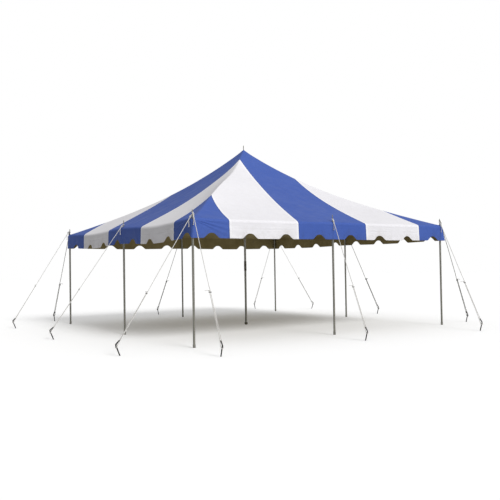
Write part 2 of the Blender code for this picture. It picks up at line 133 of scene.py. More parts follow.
FACES = ("front", "right", "back", "left")
OUTWARD = {"front": (0, -1, 0), "right": (1, 0, 0), "back": (0, 1, 0), "left": (-1, 0, 0)}
CORNERS_OF = {
    "front": ("front_left", "front_right"),
    "right": ("front_right", "back_right"),
    "back": ("back_right", "back_left"),
    "left": ("back_left", "front_left"),
}
POLES = {
    "front_left": (-1, -1),
    "front_middle": (0, -1),
    "front_right": (1, -1),
    "right_middle": (1, 0),
    "back_right": (1, 1),
    "back_middle": (0, 1),
    "back_left": (-1, 1),
    "left_middle": (-1, -0.065),
}
GUY_LINES = (
    ("front_left", "left", 1.350, -0.10),
    ("front_left", "front", 1.205, -0.22),
    ("front_middle", "front", 1.093, -0.24),
    ("front_right", "front", 1.345, -0.48),
    ("front_right", "right", 0.933, 0.10),
    ("right_middle", "right", 1.320, 0.24),
    ("back_right", "right", 1.415, 0.08),
    ("back_right", "back", 1.343, 0.20),
    ("back_middle", "back", 1.330, -0.06),
    ("back_left", "back", 1.180, -0.01),
    ("back_left", "left", 1.340, -0.20),
    ("left_middle", "left", 1.415, 0.07),
)
UP = np.array((0.0, 0.0, 1.0))

# How the cloth is made
SHEET = 0.002
FOLD_RADIUS = 0.060
HIP_ROUNDING = 0.050
LAP = 0.012
LAP_RISE = 0.0012
LAP_EDGE = 0.008
HEM_BAND = 0.022
HEM_RISE = 0.0009
HEM_EDGE = 0.006
MERGE_DISTANCE = 2e-5
SLIVER_LENGTH = 1e-6

# Rows and columns of the cloth
ROOF_STEP = 0.037
LEAST_ROOF_ROWS = 4
BREAK_CLEARANCE = 0.3 * ROOF_STEP
ROW_DIGITS = 5
EAVE_STEP = 0.017
EAVE_ZONE = 0.36
FOLD_ROWS = 8
LEVEL_ROWS = 29
HEM_SHARES = (0.12, 0.25, 0.38, 0.5, 0.6, 0.69, 0.76, 0.82, 0.87, 0.905, 0.93, 0.95, 0.97, 0.985, 1.0)
EDGE_COLUMNS = np.array((0.0, 0.004, 0.012, 0.018, 0.024, 0.030, 0.038, 0.050))
NARROW_PANEL = 0.25
CENTRE_COLUMNS = 72
WHITE_COLUMNS = 66
CORNER_COLUMNS = 34


def unit(vector):
    """A vector, or each row of vectors, divided by its own length."""
    return vector / np.linalg.norm(vector, axis=-1, keepdims=True)


def smooth_step(value):
    """0 below 0, 1 above 1, and three times the square less twice the cube in between."""
    share = np.clip(value, 0.0, 1.0)
    return share * share * (3.0 - 2.0 * share)


def bell(distance, width):
    """A bump of height 1 that falls off as e to the minus square of distance over width."""
    return np.exp(-(distance / width) ** 2)


# Canopy surface
def roof_height(out):
    """Height of the roof: the straight fall from peak to eave, times one less the sag times the share."""
    share = out / EAVE
    sag = SAG_TOP + (SAG_EAVE - SAG_TOP) * share
    return EAVE_Z + (PEAK_Z - EAVE_Z) * (1 - share) * (1 - sag * share)


def ridge_height(face, along, out):
    """Height of the cloth's ridge along its hip.

    A power of the sine of the share of the way down the hip, which falls off as e to the minus distance from
    the hip and is gone at the middle of the side.
    """
    if RIDGE_CORNER not in CORNERS_OF[face]:
        return np.zeros_like(out)
    end = 1 if CORNERS_OF[face][1] == RIDGE_CORNER else -1
    share = np.clip((out - RIDGE_START) / RIDGE_LENGTH, 0.0, 1.0)
    beside = np.maximum(out - np.abs(along), 0.0)
    fade = np.exp(-beside / RIDGE_SPREAD) * smooth_step(end * along / RIDGE_MIDDLE_FADE)
    return RIDGE_HEIGHT * np.maximum(np.sin(math.pi * share), 0.0) ** RIDGE_SHARPNESS * fade


def scallop_rise(face, along):
    """Rise of the hem: half of one plus the cosine of pi times a power of the offset from a bite."""
    bites = np.array(BITES[face])
    offset = np.abs(along[..., None] - bites).min(axis=-1) / SCALLOP_HALF_WIDTH
    offset = np.minimum(offset, 1.0) ** SCALLOP_ROUNDNESS
    return SCALLOP_RISE * 0.5 * (1 + np.cos(math.pi * offset))


def seam_side(index):
    """Side of the middle on which a seam lies: -1 for the first two seams and 1 for the last two."""
    return -1 if index < 2 else 1


def end_on_hip(face, index):
    """Distance out of a seam's end on the hip: the outer end for the two seams next to the corners."""
    corner = CORNERS_OF[face][index // 2]
    return EDGES_ON_HIP[corner][1 if index in (0, 3) else 0]


def seam_line(face, index, out):
    """Distance from the middle of a side to one of its four seams.

    From its place on the hip the seam moves to its place at the eave by a power of the share of the way.
    """
    on_hip = end_on_hip(face, index)
    at_eave = abs(EDGES_AT_EAVE[face][index])
    share = np.clip((out - on_hip) / (ROOF_END - on_hip), 0.0, 1.0)
    return on_hip + (at_eave - on_hip) * share ** SEAM_BOW[face][index]


# The valance's rows above this depth are level, and those below it follow the scallops
LEVEL_DEPTH = 0.205
SLOPE_STEP = 1e-4
EAVE_SLOPE_STEP = 0.001
ROOF_FALL = math.atan((roof_height(EAVE - EAVE_SLOPE_STEP) - roof_height(EAVE)) / EAVE_SLOPE_STEP)
VALANCE_FALL = math.atan2(VALANCE_DEPTH, VALANCE_FLARE)
FOLD_TURN = VALANCE_FALL - ROOF_FALL
FOLD_REACH = FOLD_RADIUS * math.tan(FOLD_TURN / 2)
FOLD_START = EAVE - FOLD_REACH * math.cos(ROOF_FALL)
FOLD_DROP = FOLD_REACH * math.sin(VALANCE_FALL)


def stations(start, breaks):
    """Rows down the cloth: roof distances, shares of the fold, level depths and shares to the hem."""
    zone = FOLD_START - EAVE_ZONE
    count = max(int((zone - start) / ROOF_STEP), LEAST_ROOF_ROWS)
    near_eave = np.linspace(zone, FOLD_START, int(EAVE_ZONE / EAVE_STEP))
    roof = set(np.round(np.concatenate([np.linspace(start, zone, count), near_eave]), ROW_DIGITS))
    for place in breaks:
        roof = {row for row in roof if abs(row - place) > BREAK_CLEARANCE}
        roof.add(round(place, ROW_DIGITS))
    roof |= {round(start, ROW_DIGITS), round(FOLD_START, ROW_DIGITS)}
    fold = np.linspace(0, 1, FOLD_ROWS + 1)[1:]
    level = FOLD_DROP + (LEVEL_DEPTH - FOLD_DROP) * np.linspace(0, 1, LEVEL_ROWS + 1)[1:]
    return np.array(sorted(roof)), fold, level, np.array(HEM_SHARES)


def profile(rows, hem_depth):
    """Distance out, height, angle of fall and length from the eave for each row and column.

    The roof follows its own height. The fold is an arc that touches the roof and the valance. The valance
    falls straight, its distance out growing with its depth, down to the depth of the hem at each column.
    """
    roof, fold, level, hem = rows
    columns = hem_depth.shape[-1]

    def spread(values):
        """The same value in every column of a row."""
        return np.repeat(np.asarray(values, float)[:, None], columns, axis=1)

    out = spread(roof)
    height = roof_height(out)
    slope = (roof_height(out + SLOPE_STEP) - roof_height(out - SLOPE_STEP)) / (2 * SLOPE_STEP)
    run = -np.sqrt(1 + slope ** 2) * (EAVE - out)
    fall = np.arctan(-slope)
    turned = spread(ROOF_FALL + FOLD_TURN * fold)
    centre_out = FOLD_START - FOLD_RADIUS * math.sin(ROOF_FALL)
    centre_z = roof_height(FOLD_START) - FOLD_RADIUS * math.cos(ROOF_FALL)
    fold_out = centre_out + FOLD_RADIUS * np.sin(turned)
    fold_z = centre_z + FOLD_RADIUS * np.cos(turned)
    fold_run = -FOLD_REACH + 2 * FOLD_REACH * spread(fold)
    depth = np.vstack([spread(level), LEVEL_DEPTH + (hem_depth - LEVEL_DEPTH) * hem[:, None]])
    out_low = EAVE + VALANCE_FLARE * depth / VALANCE_DEPTH
    return (
        np.vstack([out, fold_out, out_low]),
        np.vstack([height, fold_z, EAVE_Z - depth]),
        np.vstack([fall, turned, np.full_like(depth, VALANCE_FALL)]),
        np.vstack([run, fold_run, depth]),
    )


def pin_along(face):
    """Place of a side's middle pole, from the middle of the side."""
    pole = POLES[f"{face}_middle"]
    sideways = np.cross(UP, OUTWARD[face])
    return POLE_LINE * (pole[0] * sideways[0] + pole[1] * sideways[1])


EAVE_SAG = {"front": 0.006, "right": 0.014, "back": 0.014, "left": 0.045}
SAG_FADE = 0.45
SAG_HIP_FADE = 0.6


def eave_sag(face, along, out):
    """How far the eave hangs between two poles.

    The square of the sine of pi times the share of the way between them, less towards the peak as e to the
    minus distance from the eave, and gone at the hips.
    """
    middle = pin_along(face)
    before = (along + POLE_LINE) / (middle + POLE_LINE)
    after = (along - middle) / (POLE_LINE - middle)
    share = np.where(along < middle, before, after)
    span = np.sin(math.pi * np.clip(share, 0.0, 1.0)) ** 2
    from_hip = smooth_step((out - np.abs(along)) / SAG_HIP_FADE)
    return EAVE_SAG[face] * span * np.exp(-np.maximum(EAVE - out, 0.0) / SAG_FADE) * from_hip


def hip_share(along, out):
    """Share of a place in its hip's rounding, 1 on the hip and 0 at the rounding's edge, and its reach."""
    reach = np.minimum(HIP_ROUNDING, 0.5 * out)
    return np.maximum(reach - (out - np.abs(along)), 0.0) / reach, reach


# Angle from the eave in degrees, width in degrees and height in metres of each fold at a corner
CORNER_FOLDS = {
    "front_left": ((8, 2.2, -0.0085), (12, 2.2, 0.0065), (16, 2.2, -0.0090), (20, 2.2, 0.0060),
                   (24, 2.6, -0.0060), (31, 4, 0.0020), (46, 6, -0.0012), (66, 8, 0.0012),
                   (-14, 6, 0.0035), (-30, 8, -0.0030)),
    "front_right": ((18, 8, 0.0030), (40, 9, -0.0035), (66, 9, 0.0045), (-20, 9, 0.0035)),
    "back_right": ((24, 8, 0.0035), (50, 8, -0.0030), (72, 8, 0.0035), (-18, 8, 0.0030)),
    "back_left": ((20, 8, 0.0035), (44, 7, 0.0045), (68, 8, -0.0035), (-22, 9, 0.0030)),
}
CORNER_FLARE = {"front_left": 0.004, "front_right": 0.055, "back_right": 0.012, "back_left": 0.008}
# Phase of a side's waves, in radians
WAVES = {"front": 0.7, "right": 2.9, "back": 4.4, "left": 5.6}
# How the cloth stands up round its pins: heights, reaches and fades in metres, a strength as a factor on
# the folds' heights and a rate in radians per metre
CORNER_FOLD_STRENGTH = 1.6
CORNER_FOLD_RISE = 0.12
CORNER_FOLD_FADE = 0.42
CORNER_BUMP = 0.006
CORNER_BUMP_REACH = 0.10
CORNER_FLARE_FADE = 0.14
CORNER_LEAST = 1e-4
MIDDLE_BUMP = 0.007
MIDDLE_BUMP_REACH = 0.11
MIDDLE_BUMP_END = 0.05
MIDDLE_RIDGE = 0.004
MIDDLE_RIDGE_FADE = 0.9
MIDDLE_RIDGE_LENGTH = 1.2
MIDDLE_WIDTH = 0.05
MIDDLE_SPREAD_ON_ROOF = 0.10
MIDDLE_SPREAD_TO_HEM = 0.12
MIDDLE_FLUTE_RATE = 32.0
# Waves all over a side, gone on its hips and whole from this far beside them
HIP_CALM = 0.25
SLOW_WAVE_HEIGHT = 0.0022
HEM_FLUTE_HEIGHT = 0.0062
# Rate along the side, rate on the way out, share of the height and share of the side's phase
SLOW_WAVES = ((1.9, 1.3, 1.0, 1.0), (3.7, -2.2, 0.6, 2.0))
# Rate along the side, share of the height and share of the side's phase
HEM_FLUTES = ((8.1, 1.0, 1.0), (13.7, 0.7, 2.3), (23.0, 0.35, 3.1))


def corner_lift(face, along, run, down):
    """Lift towards a side's two corners.

    Folds fan out from the pin, each a bell of the angle about it that rises and fades with the distance, a
    bump lies over the pole, and the valance flares out as e to the minus distance from the corner.
    """
    amount = np.zeros_like(along)
    for end, corner in zip((-1, 1), CORNERS_OF[face]):
        side = np.where(end * along > 0, 1.0, 0.0)
        across = np.maximum(EAVE - end * along, CORNER_LEAST)
        reach = np.hypot(across, run)
        angle = np.degrees(np.arctan2(run, across))
        grow = smooth_step(reach / CORNER_FOLD_RISE) * np.exp(-reach / CORNER_FOLD_FADE)
        for middle, width, height in CORNER_FOLDS[corner]:
            amount += side * CORNER_FOLD_STRENGTH * height * grow * bell(angle - middle, width)
        amount += side * CORNER_BUMP * bell(reach, CORNER_BUMP_REACH)
        amount += side * CORNER_FLARE[corner] * down * np.exp(-across / CORNER_FLARE_FADE)
    return amount


def middle_lift(face, along, out, run, down):
    """Lift at a side's middle pin: a bump over the pole, a ridge towards the peak and flutes to the hem."""
    beside = along - pin_along(face)
    from_pin = np.hypot(beside, out - POLE_LINE)
    bump = MIDDLE_BUMP * bell(from_pin, MIDDLE_BUMP_REACH) * (run <= MIDDLE_BUMP_END)
    above = np.clip(-run, 0, MIDDLE_RIDGE_LENGTH)
    ridge = MIDDLE_RIDGE * np.exp(-np.abs(np.minimum(run, 0.0)) / MIDDLE_RIDGE_FADE) * (run < 0)
    ridge = ridge * bell(beside, MIDDLE_WIDTH + MIDDLE_SPREAD_ON_ROOF * above)
    flutes = MIDDLE_RIDGE * down * np.cos(beside * MIDDLE_FLUTE_RATE)
    return bump + ridge + flutes * bell(beside, MIDDLE_WIDTH + MIDDLE_SPREAD_TO_HEM * down)


def lifted(face, along, out, run, hem_depth):
    """How far the cloth stands out from its smooth shape, in metres.

    Sum of what its corners and its middle pin lift, of slow sine waves all over it, and of sine flutes that
    grow with the share of the way to the hem to the power 1.5. Both kinds of waves are gone on the hips.
    """
    down = np.clip(run, 0.0, None) / hem_depth
    calm = smooth_step(np.maximum(out - np.abs(along), 0.0) / HIP_CALM)
    wave = WAVES[face]
    slow = sum(share * np.sin(rate * along + outward * out + turn * wave)
               for rate, outward, share, turn in SLOW_WAVES)
    flutes = sum(share * np.sin(rate * along + turn * wave) for rate, share, turn in HEM_FLUTES)
    waves = SLOW_WAVE_HEIGHT * slow * calm + HEM_FLUTE_HEIGHT * flutes * down ** 1.5 * calm
    return corner_lift(face, along, run, down) + middle_lift(face, along, out, run, down) + waves


# Depth below the eave, height and phase of each level crease
CREASES = ((0.041, 0.0022, 0.0), (0.127, 0.0026, 1.7), (0.156, -0.0018, 3.1))
CREASE_WIDTH = 0.0075
CREASE_RATE = 5.3
CREASE_MEAN = 0.6
CREASE_SWING = 0.4
# Distance from a seam at which a crease starts, and over which it grows to its full height
CREASE_START = 0.02
CREASE_GROWTH = 0.05


def creases(along, run):
    """Level creases from packing: each a bell of the depth, its height swinging as a sine along the side."""
    amount = np.zeros_like(run)
    for depth, height, phase in CREASES:
        strength = CREASE_MEAN + CREASE_SWING * np.sin(CREASE_RATE * along + phase)
        amount += height * strength * bell(run - depth, CREASE_WIDTH)
    return amount


def cloth_surface(face, along, out, height, fall, run, hem_depth, extra):
    """Points of the cloth from their layout.

    A place on the side is pulled towards the peak by its distance out over a smooth maximum of its two plan
    distances, which rounds the hips and the upright corners. It then moves out along the normal.
    """
    outward = np.array(OUTWARD[face], float)
    sideways = np.cross(UP, outward)
    hip, reach = hip_share(along, out)
    shrink = out / (out + hip ** 2 * reach / 4)
    level = (1 - hip / 2)[..., None] * outward + (hip / 2 * np.sign(along))[..., None] * sideways
    normal = unit(np.sin(fall)[..., None] * level + np.cos(fall)[..., None] * UP)
    amount = lifted(face, along, out, run, hem_depth) + extra
    place = (along * shrink)[..., None] * sideways + (out * shrink)[..., None] * outward
    return place + height[..., None] * UP + amount[..., None] * normal


def columns_between(low, high, count):
    """Places across a panel: close together near both edges and even in between."""
    width = high - low
    scale = np.minimum(1.0, width / NARROW_PANEL)[:, None]
    near = EDGE_COLUMNS[None, :] * scale
    far = width[:, None] - near[:, ::-1]
    share = np.linspace(0, 1, count + 2)[1:-1][None, :]
    middle = near[:, -1:] + (far[:, :1] - near[:, -1:]) * share
    return low[:, None] + np.hstack([near, middle, far])


def leg_grid(face, start, breaks, edges, count, white=False):
    """Points, flat places, distances from a seam and from the hem of a panel's part on one side of the tent.

    The rows are those of stations(), and the columns lie between the panel's two edges in each row. A place
    far from any hem counts as 1 m from it.
    """
    rows = stations(start, breaks)
    nominal = np.concatenate([rows[0], np.full(sum(map(len, rows[1:])), EAVE)])
    hem_low, hem_high = (edge(np.array([EAVE + VALANCE_FLARE])) for edge in edges)
    hem_along = columns_between(hem_low, hem_high, count)
    hem_depth = VALANCE_DEPTH - scallop_rise(face, hem_along)
    out, height, fall, run = profile(rows, hem_depth)
    middle_out = out[:, out.shape[1] // 2]
    row_out = np.maximum(middle_out, nominal)
    low, high = (edge(row_out) for edge in edges)
    along = columns_between(low, high, count)
    # On a hip the distance along is the distance out of the same point
    low_hip = np.isclose(-low, row_out)
    high_hip = np.isclose(high, row_out)
    along[low_hip, 0] = -out[low_hip, 0]
    along[high_hip, -1] = out[high_hip, -1]
    height = height + ridge_height(face, along, out) - eave_sag(face, along, out)
    distance = seam_distance(face, along, out)
    from_hem = hem_depth - run
    extra = HEM_RISE * (1 - smooth_step((from_hem - HEM_BAND) / HEM_EDGE)) * (run > 0)
    if white:
        extra = extra + LAP_RISE * (1 - smooth_step((distance - LAP) / LAP_EDGE))
        extra = extra + creases(along, run) * smooth_step((distance - CREASE_START) / CREASE_GROWTH)
    points = cloth_surface(face, along, out, height, fall, run, hem_depth, extra)
    flat = np.stack([along, -run], axis=-1)
    return points, flat, distance, np.where(run > 0, from_hem, 1.0)


def seam_distance(face, along, out):
    """Distance from the nearest seam of a side.

    The root of the squares of how far beside its line and how far above its end on the hip a place is.
    """
    distances = []
    for index in range(4):
        beside = along - seam_side(index) * seam_line(face, index, out)
        above = np.maximum(end_on_hip(face, index) - out, 0.0)
        distances.append(np.hypot(beside, above))
    return np.min(distances, axis=0)


def point_numbers(first, rows, columns):
    """Numbers of a grid's points, counted on from the first one, row by row."""
    return first + np.arange(rows * columns).reshape(rows, columns)


def grid_faces(numbers, flip=False):
    """The four corner numbers of each face between neighbours in a grid of point numbers."""
    corners = [numbers[:-1, :-1], numbers[1:, :-1], numbers[1:, 1:], numbers[:-1, 1:]]
    if flip:
        corners.reverse()
    return np.stack(corners, axis=-1).reshape(-1, 4)


def new_object(name, data):
    """An object made from a mesh, lamp or camera and put into the scene."""
    made = bpy.data.objects.new(name, data)
    bpy.context.collection.objects.link(made)
    return made


def cloth_piece(name, legs, finish):
    """One panel from the grids of its sides, joined where they share a hip, as a thin closed sheet."""
    points = np.concatenate([leg[0].reshape(-1, 3) for leg in legs])
    flat = np.concatenate([leg[1].reshape(-1, 2) for leg in legs])
    faces = []
    first = 0
    for leg in legs:
        numbers = point_numbers(first, *leg[0].shape[:2])
        faces.append(grid_faces(numbers))
        first += numbers.size
    faces = np.concatenate(faces)
    mesh = bpy.data.meshes.new(name)
    mesh.from_pydata(points.tolist(), [], faces.tolist())
    uv = mesh.uv_layers.new(name="cloth")
    uv.data.foreach_set("uv", flat[faces.ravel()].astype(np.float32).ravel())
    for label, place in (("seam", 2), ("hem", 3)):
        values = np.concatenate([leg[place].ravel() for leg in legs]).astype(np.float32)
        mesh.attributes.new(label, "FLOAT", "POINT").data.foreach_set("value", values)
    work = bmesh.new()
    work.from_mesh(mesh)
    bmesh.ops.remove_doubles(work, verts=work.verts, dist=MERGE_DISTANCE)
    bmesh.ops.dissolve_degenerate(work, edges=work.edges, dist=SLIVER_LENGTH)
    for edge in work.edges:
        edge.smooth = not edge.is_boundary
    area = sum(face.calc_area() for face in work.faces)
    work.to_mesh(mesh)
    work.free()
    mesh.polygons.foreach_set("use_smooth", np.ones(len(mesh.polygons), bool))
    # The inner shell gets the dark olive brown back, a painted shade
    for material in (finish, lining):
        mesh.materials.append(material)
    made = new_object(name, mesh)
    wall = made.modifiers.new("thickness", "SOLIDIFY")
    wall.thickness = SHEET
    wall.offset = -1.0
    wall.material_offset = 1
    wall.material_offset_rim = 0
    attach(made, "root")
    return made, area


def flat_size(legs):
    """Width and length of the panel laid flat, its two sides turned about the hip into one plane."""
    slope = math.hypot(EAVE, PEAK_Z - EAVE_Z)
    hip = math.atan2(EAVE, slope)
    places = []
    for leg, angle in zip(legs, (0.0,) if len(legs) == 1 else (hip, -hip)):
        along = leg[1][..., 0].ravel()
        down = slope - leg[1][..., 1].ravel()
        places.append(np.stack([along * math.cos(angle) - down * math.sin(angle),
                                along * math.sin(angle) + down * math.cos(angle)], axis=-1))
    places = np.concatenate(places)
    size = places.max(axis=0) - places.min(axis=0)
    return float(size[0]), float(size[1])


# Materials
def set_inputs(node, values):
    """Fixed values for a node's inputs, by the inputs' names."""
    for key, value in values.items():
        node.inputs[key].default_value = value


def new_material(name):
    """A material with only a Principled shader, and that shader."""
    made = bpy.data.materials.new(name)
    made.use_nodes = True
    made.node_tree.nodes.clear()
    output = made.node_tree.nodes.new("ShaderNodeOutputMaterial")
    shader = made.node_tree.nodes.new("ShaderNodeBsdfPrincipled")
    made.node_tree.links.new(shader.outputs["BSDF"], output.inputs["Surface"])
    return made, shader


class Nodes:
    """Short ways to add and join nodes."""

    def __init__(self, owner):
        """For the nodes of a material or of the world."""
        self.tree = owner.node_tree

    def add(self, kind, **settings):
        """A new node with its settings."""
        node = self.tree.nodes.new(kind)
        for key, value in settings.items():
            setattr(node, key, value)
        return node

    def join(self, source, target):
        """A link from an output to an input."""
        self.tree.links.new(source, target)

    def math(self, operation, first, second=None):
        """A calculation with one or two values, each a number or an output."""
        node = self.add("ShaderNodeMath", operation=operation)
        for socket, value in zip(node.inputs, (first, second)):
            if value is None:
                continue
            if isinstance(value, (int, float)):
                socket.default_value = value
            else:
                self.join(value, socket)
        return node.outputs[0]

    def noise(self, vector, scale, detail=4.0, roughness=0.5):
        """Cloudy noise from 0 to 1 with so many clouds per metre."""
        node = self.add("ShaderNodeTexNoise")
        set_inputs(node, {"Scale": scale, "Detail": detail, "Roughness": roughness})
        self.join(vector, node.inputs["Vector"])
        return node.outputs["Fac"]

    def ramp(self, value, low, high, to_low=0.0, to_high=1.0):
        """A value between two limits carried straight over to two others, and held beyond them."""
        node = self.add("ShaderNodeMapRange", clamp=True)
        self.join(value, node.inputs["Value"])
        set_inputs(node, {"From Min": low, "From Max": high, "To Min": to_low, "To Max": to_high})
        return node.outputs["Result"]

    def mix(self, factor, first, second):
        """Two colours mixed by a factor, each a colour or an output."""
        node = self.add("ShaderNodeMix", data_type="RGBA")
        self.join(factor, node.inputs["Factor"])
        for socket, value in ((node.inputs["A"], first), (node.inputs["B"], second)):
            if isinstance(value, tuple):
                socket.default_value = (*value, 1.0)
            else:
                self.join(value, socket)
        return node.outputs["Result"]

    def bump(self, height, distance, strength, normal=None):
        """Relief of a height times a distance in metres, on top of another relief if one is given."""
        node = self.add("ShaderNodeBump")
        set_inputs(node, {"Distance": distance, "Strength": strength})
        self.join(height, node.inputs["Height"])
        if normal is not None:
            self.join(normal, node.inputs["Normal"])
        return node.outputs["Normal"]


# Spacing of the threads and fibres in metres, and the fibres' slant in radians a turn
VINYL_WEAVE = 0.0014
LINING_WEAVE = 0.0018
FIBRE_SPACING = 0.0035
FIBRE_SLANT = 18.0
# Where a seam's band of painted highlight and shadow fades out, where its stitches run, and how far grime
# climbs from the hem
SEAM_BAND = (0.022, 0.036)
STITCH_LINE = 0.008
STITCH_EDGE = (0.0006, 0.0022)
GRIME_REACH = 0.16
VINYL_ROUGHNESS = (0.44, 0.60)
VINYL_SPECULAR = 0.2
# Streaks are drawn out by one over this share, and blotches have this share of the metal's colour
STREAK_STRETCH = 0.06
BLOTCH_SHADE = 0.45


def weave_height(nodes, spacing):
    """Height of a plain weave: the sine along the warp times the sine along the weft."""
    uv = nodes.add("ShaderNodeUVMap", uv_map="cloth").outputs["UV"]
    split = nodes.add("ShaderNodeSeparateXYZ")
    nodes.join(uv, split.inputs[0])
    threads = 2 * math.pi / spacing
    warp = nodes.math("SINE", nodes.math("MULTIPLY", split.outputs["X"], threads))
    weft = nodes.math("SINE", nodes.math("MULTIPLY", split.outputs["Y"], threads))
    return nodes.math("MULTIPLY", warp, weft)


def vinyl(name, colour, faded, dirt, seam_light_and_shade):
    """Coated cloth: patches and grime from noise, a band of painted light by each seam (a painted highlight
    where the seam's tone is lighter, a painted shadow where it is darker), stitches by a seam, and the weave
    as relief.
    """
    made, shader = new_material(name)
    nodes = Nodes(made)
    place = nodes.add("ShaderNodeTexCoord").outputs["Object"]
    patches = nodes.ramp(nodes.noise(place, scale=1.3, detail=5.0, roughness=0.6), 0.35, 0.7)
    tone = nodes.mix(nodes.math("MULTIPLY", patches, 0.55), colour, faded)
    seam = nodes.add("ShaderNodeAttribute", attribute_name="seam").outputs["Fac"]
    hem = nodes.add("ShaderNodeAttribute", attribute_name="hem").outputs["Fac"]
    # Painted light by the laps: towards each seam the tone moves to the seam's tone, a painted highlight on
    # white and a painted shadow on blue
    band = nodes.ramp(seam, *SEAM_BAND, to_low=1.0, to_high=0.0)
    tone = nodes.mix(nodes.math("MULTIPLY", band, 0.75), tone, seam_light_and_shade)
    grime = nodes.ramp(nodes.noise(place, scale=9.0, detail=6.0, roughness=0.65), 0.42, 0.75)
    near_hem = nodes.ramp(hem, 0.0, GRIME_REACH, to_low=0.55, to_high=0.10)
    tone = nodes.mix(nodes.math("MULTIPLY", grime, near_hem), tone, dirt)
    nodes.join(tone, shader.inputs["Base Color"])
    wear = nodes.ramp(nodes.noise(place, scale=5.0), 0.3, 0.7, *VINYL_ROUGHNESS)
    nodes.join(wear, shader.inputs["Roughness"])
    set_inputs(shader, {"Specular IOR Level": VINYL_SPECULAR})
    stitches = nodes.math("ABSOLUTE", nodes.math("SUBTRACT", seam, STITCH_LINE))
    stitches = nodes.ramp(stitches, *STITCH_EDGE, to_low=-1.0, to_high=0.0)
    crumple = nodes.bump(nodes.noise(place, scale=14.0, detail=3.0), distance=0.006, strength=0.35)
    groove = nodes.bump(stitches, distance=0.0008, strength=0.8, normal=crumple)
    weave = nodes.bump(weave_height(nodes, VINYL_WEAVE), distance=0.00006, strength=0.6, normal=groove)
    nodes.join(weave, shader.inputs["Normal"])
    return made


def shaded_lining_material():
    """Dull olive brown back of the cloth, dark as painted shade under the canopy: stains from cloudy noise,
    and the weave as relief.
    """
    made, shader = new_material("olive brown lining with painted shade")
    nodes = Nodes(made)
    place = nodes.add("ShaderNodeTexCoord").outputs["Object"]
    stains = nodes.ramp(nodes.noise(place, scale=2.2, detail=6.0, roughness=0.6), 0.35, 0.7)
    tone = nodes.mix(stains, (0.24, 0.19, 0.080), (0.34, 0.28, 0.135))
    nodes.join(tone, shader.inputs["Base Color"])
    weave = nodes.bump(weave_height(nodes, LINING_WEAVE), distance=0.0001, strength=0.8)
    nodes.join(weave, shader.inputs["Normal"])
    set_inputs(shader, {"Roughness": 0.85, "Specular IOR Level": 0.2})
    return made


def steel_material(name, base, worn, metallic, roughness, spangle, streaks):
    """Metal: one shade for each grain, noise drawn out into upright streaks, and dark blotches.

    roughness holds the lowest and the highest value, and spangle and streaks are so many a metre.
    """
    made, shader = new_material(name)
    nodes = Nodes(made)
    place = nodes.add("ShaderNodeTexCoord").outputs["Object"]
    cells = nodes.add("ShaderNodeTexVoronoi")
    set_inputs(cells, {"Scale": spangle})
    nodes.join(place, cells.inputs["Vector"])
    split = nodes.add("ShaderNodeSeparateColor")
    nodes.join(cells.outputs["Color"], split.inputs[0])
    stretch = nodes.add("ShaderNodeMapping")
    set_inputs(stretch, {"Scale": (1.0, 1.0, STREAK_STRETCH)})
    nodes.join(place, stretch.inputs["Vector"])
    run = nodes.noise(stretch.outputs["Vector"], scale=streaks, roughness=0.6)
    blotch = nodes.noise(place, scale=7.0, detail=5.0, roughness=0.6)
    grain = nodes.math("MULTIPLY", split.outputs[0], 0.35)
    mixed = nodes.math("ADD", grain, nodes.math("MULTIPLY", run, 0.65))
    tone = nodes.mix(nodes.ramp(mixed, 0.2, 0.75), base, worn)
    dark = tuple(BLOTCH_SHADE * value for value in base)
    tone = nodes.mix(nodes.ramp(blotch, 0.60, 0.80, to_high=0.5), tone, dark)
    nodes.join(tone, shader.inputs["Base Color"])
    nodes.join(nodes.ramp(mixed, 0.2, 0.8, *roughness), shader.inputs["Roughness"])
    set_inputs(shader, {"Metallic": metallic})
    fine = nodes.bump(nodes.noise(place, scale=220.0, detail=3.0), distance=0.0002, strength=0.5)
    nodes.join(fine, shader.inputs["Normal"])
    return made


def rope_material(name, clean, soiled, groove_shade):
    """Twisted cord: fibres as a slanted sine, soiled patches, and painted shade in the grooves between the
    strands.
    """
    made, shader = new_material(name)
    nodes = Nodes(made)
    uv = nodes.add("ShaderNodeUVMap", uv_map="rope").outputs["UV"]
    place = nodes.add("ShaderNodeTexCoord").outputs["Object"]
    groove = nodes.add("ShaderNodeAttribute", attribute_name="groove").outputs["Fac"]
    split = nodes.add("ShaderNodeSeparateXYZ")
    nodes.join(uv, split.inputs[0])
    down = nodes.math("MULTIPLY", split.outputs["Y"], 2 * math.pi / FIBRE_SPACING)
    around = nodes.math("MULTIPLY", split.outputs["X"], FIBRE_SLANT)
    fibres = nodes.math("SINE", nodes.math("ADD", down, around))
    soil = nodes.ramp(nodes.noise(place, scale=11.0, roughness=0.6), 0.35, 0.75)
    tone = nodes.mix(soil, clean, soiled)
    # Painted shade: the tone darkens towards the bottom of each groove between the strands
    tone = nodes.mix(nodes.math("MULTIPLY", groove, 0.7), tone, groove_shade)
    nodes.join(tone, shader.inputs["Base Color"])
    set_inputs(shader, {"Roughness": 0.75, "Sheen Weight": 0.15})
    nodes.join(nodes.bump(fibres, distance=0.0003, strength=0.6), shader.inputs["Normal"])
    return made


blue_vinyl = vinyl(
    "blue vinyl",
    colour=(0.050, 0.104, 0.390),
    faded=(0.066, 0.125, 0.420),
    dirt=(0.045, 0.066, 0.160),
    seam_light_and_shade=(0.030, 0.070, 0.280),
)
white_vinyl = vinyl(
    "white vinyl",
    colour=(0.78, 0.77, 0.80),
    faded=(0.83, 0.82, 0.85),
    dirt=(0.52, 0.49, 0.45),
    seam_light_and_shade=(0.88, 0.88, 0.90),
)
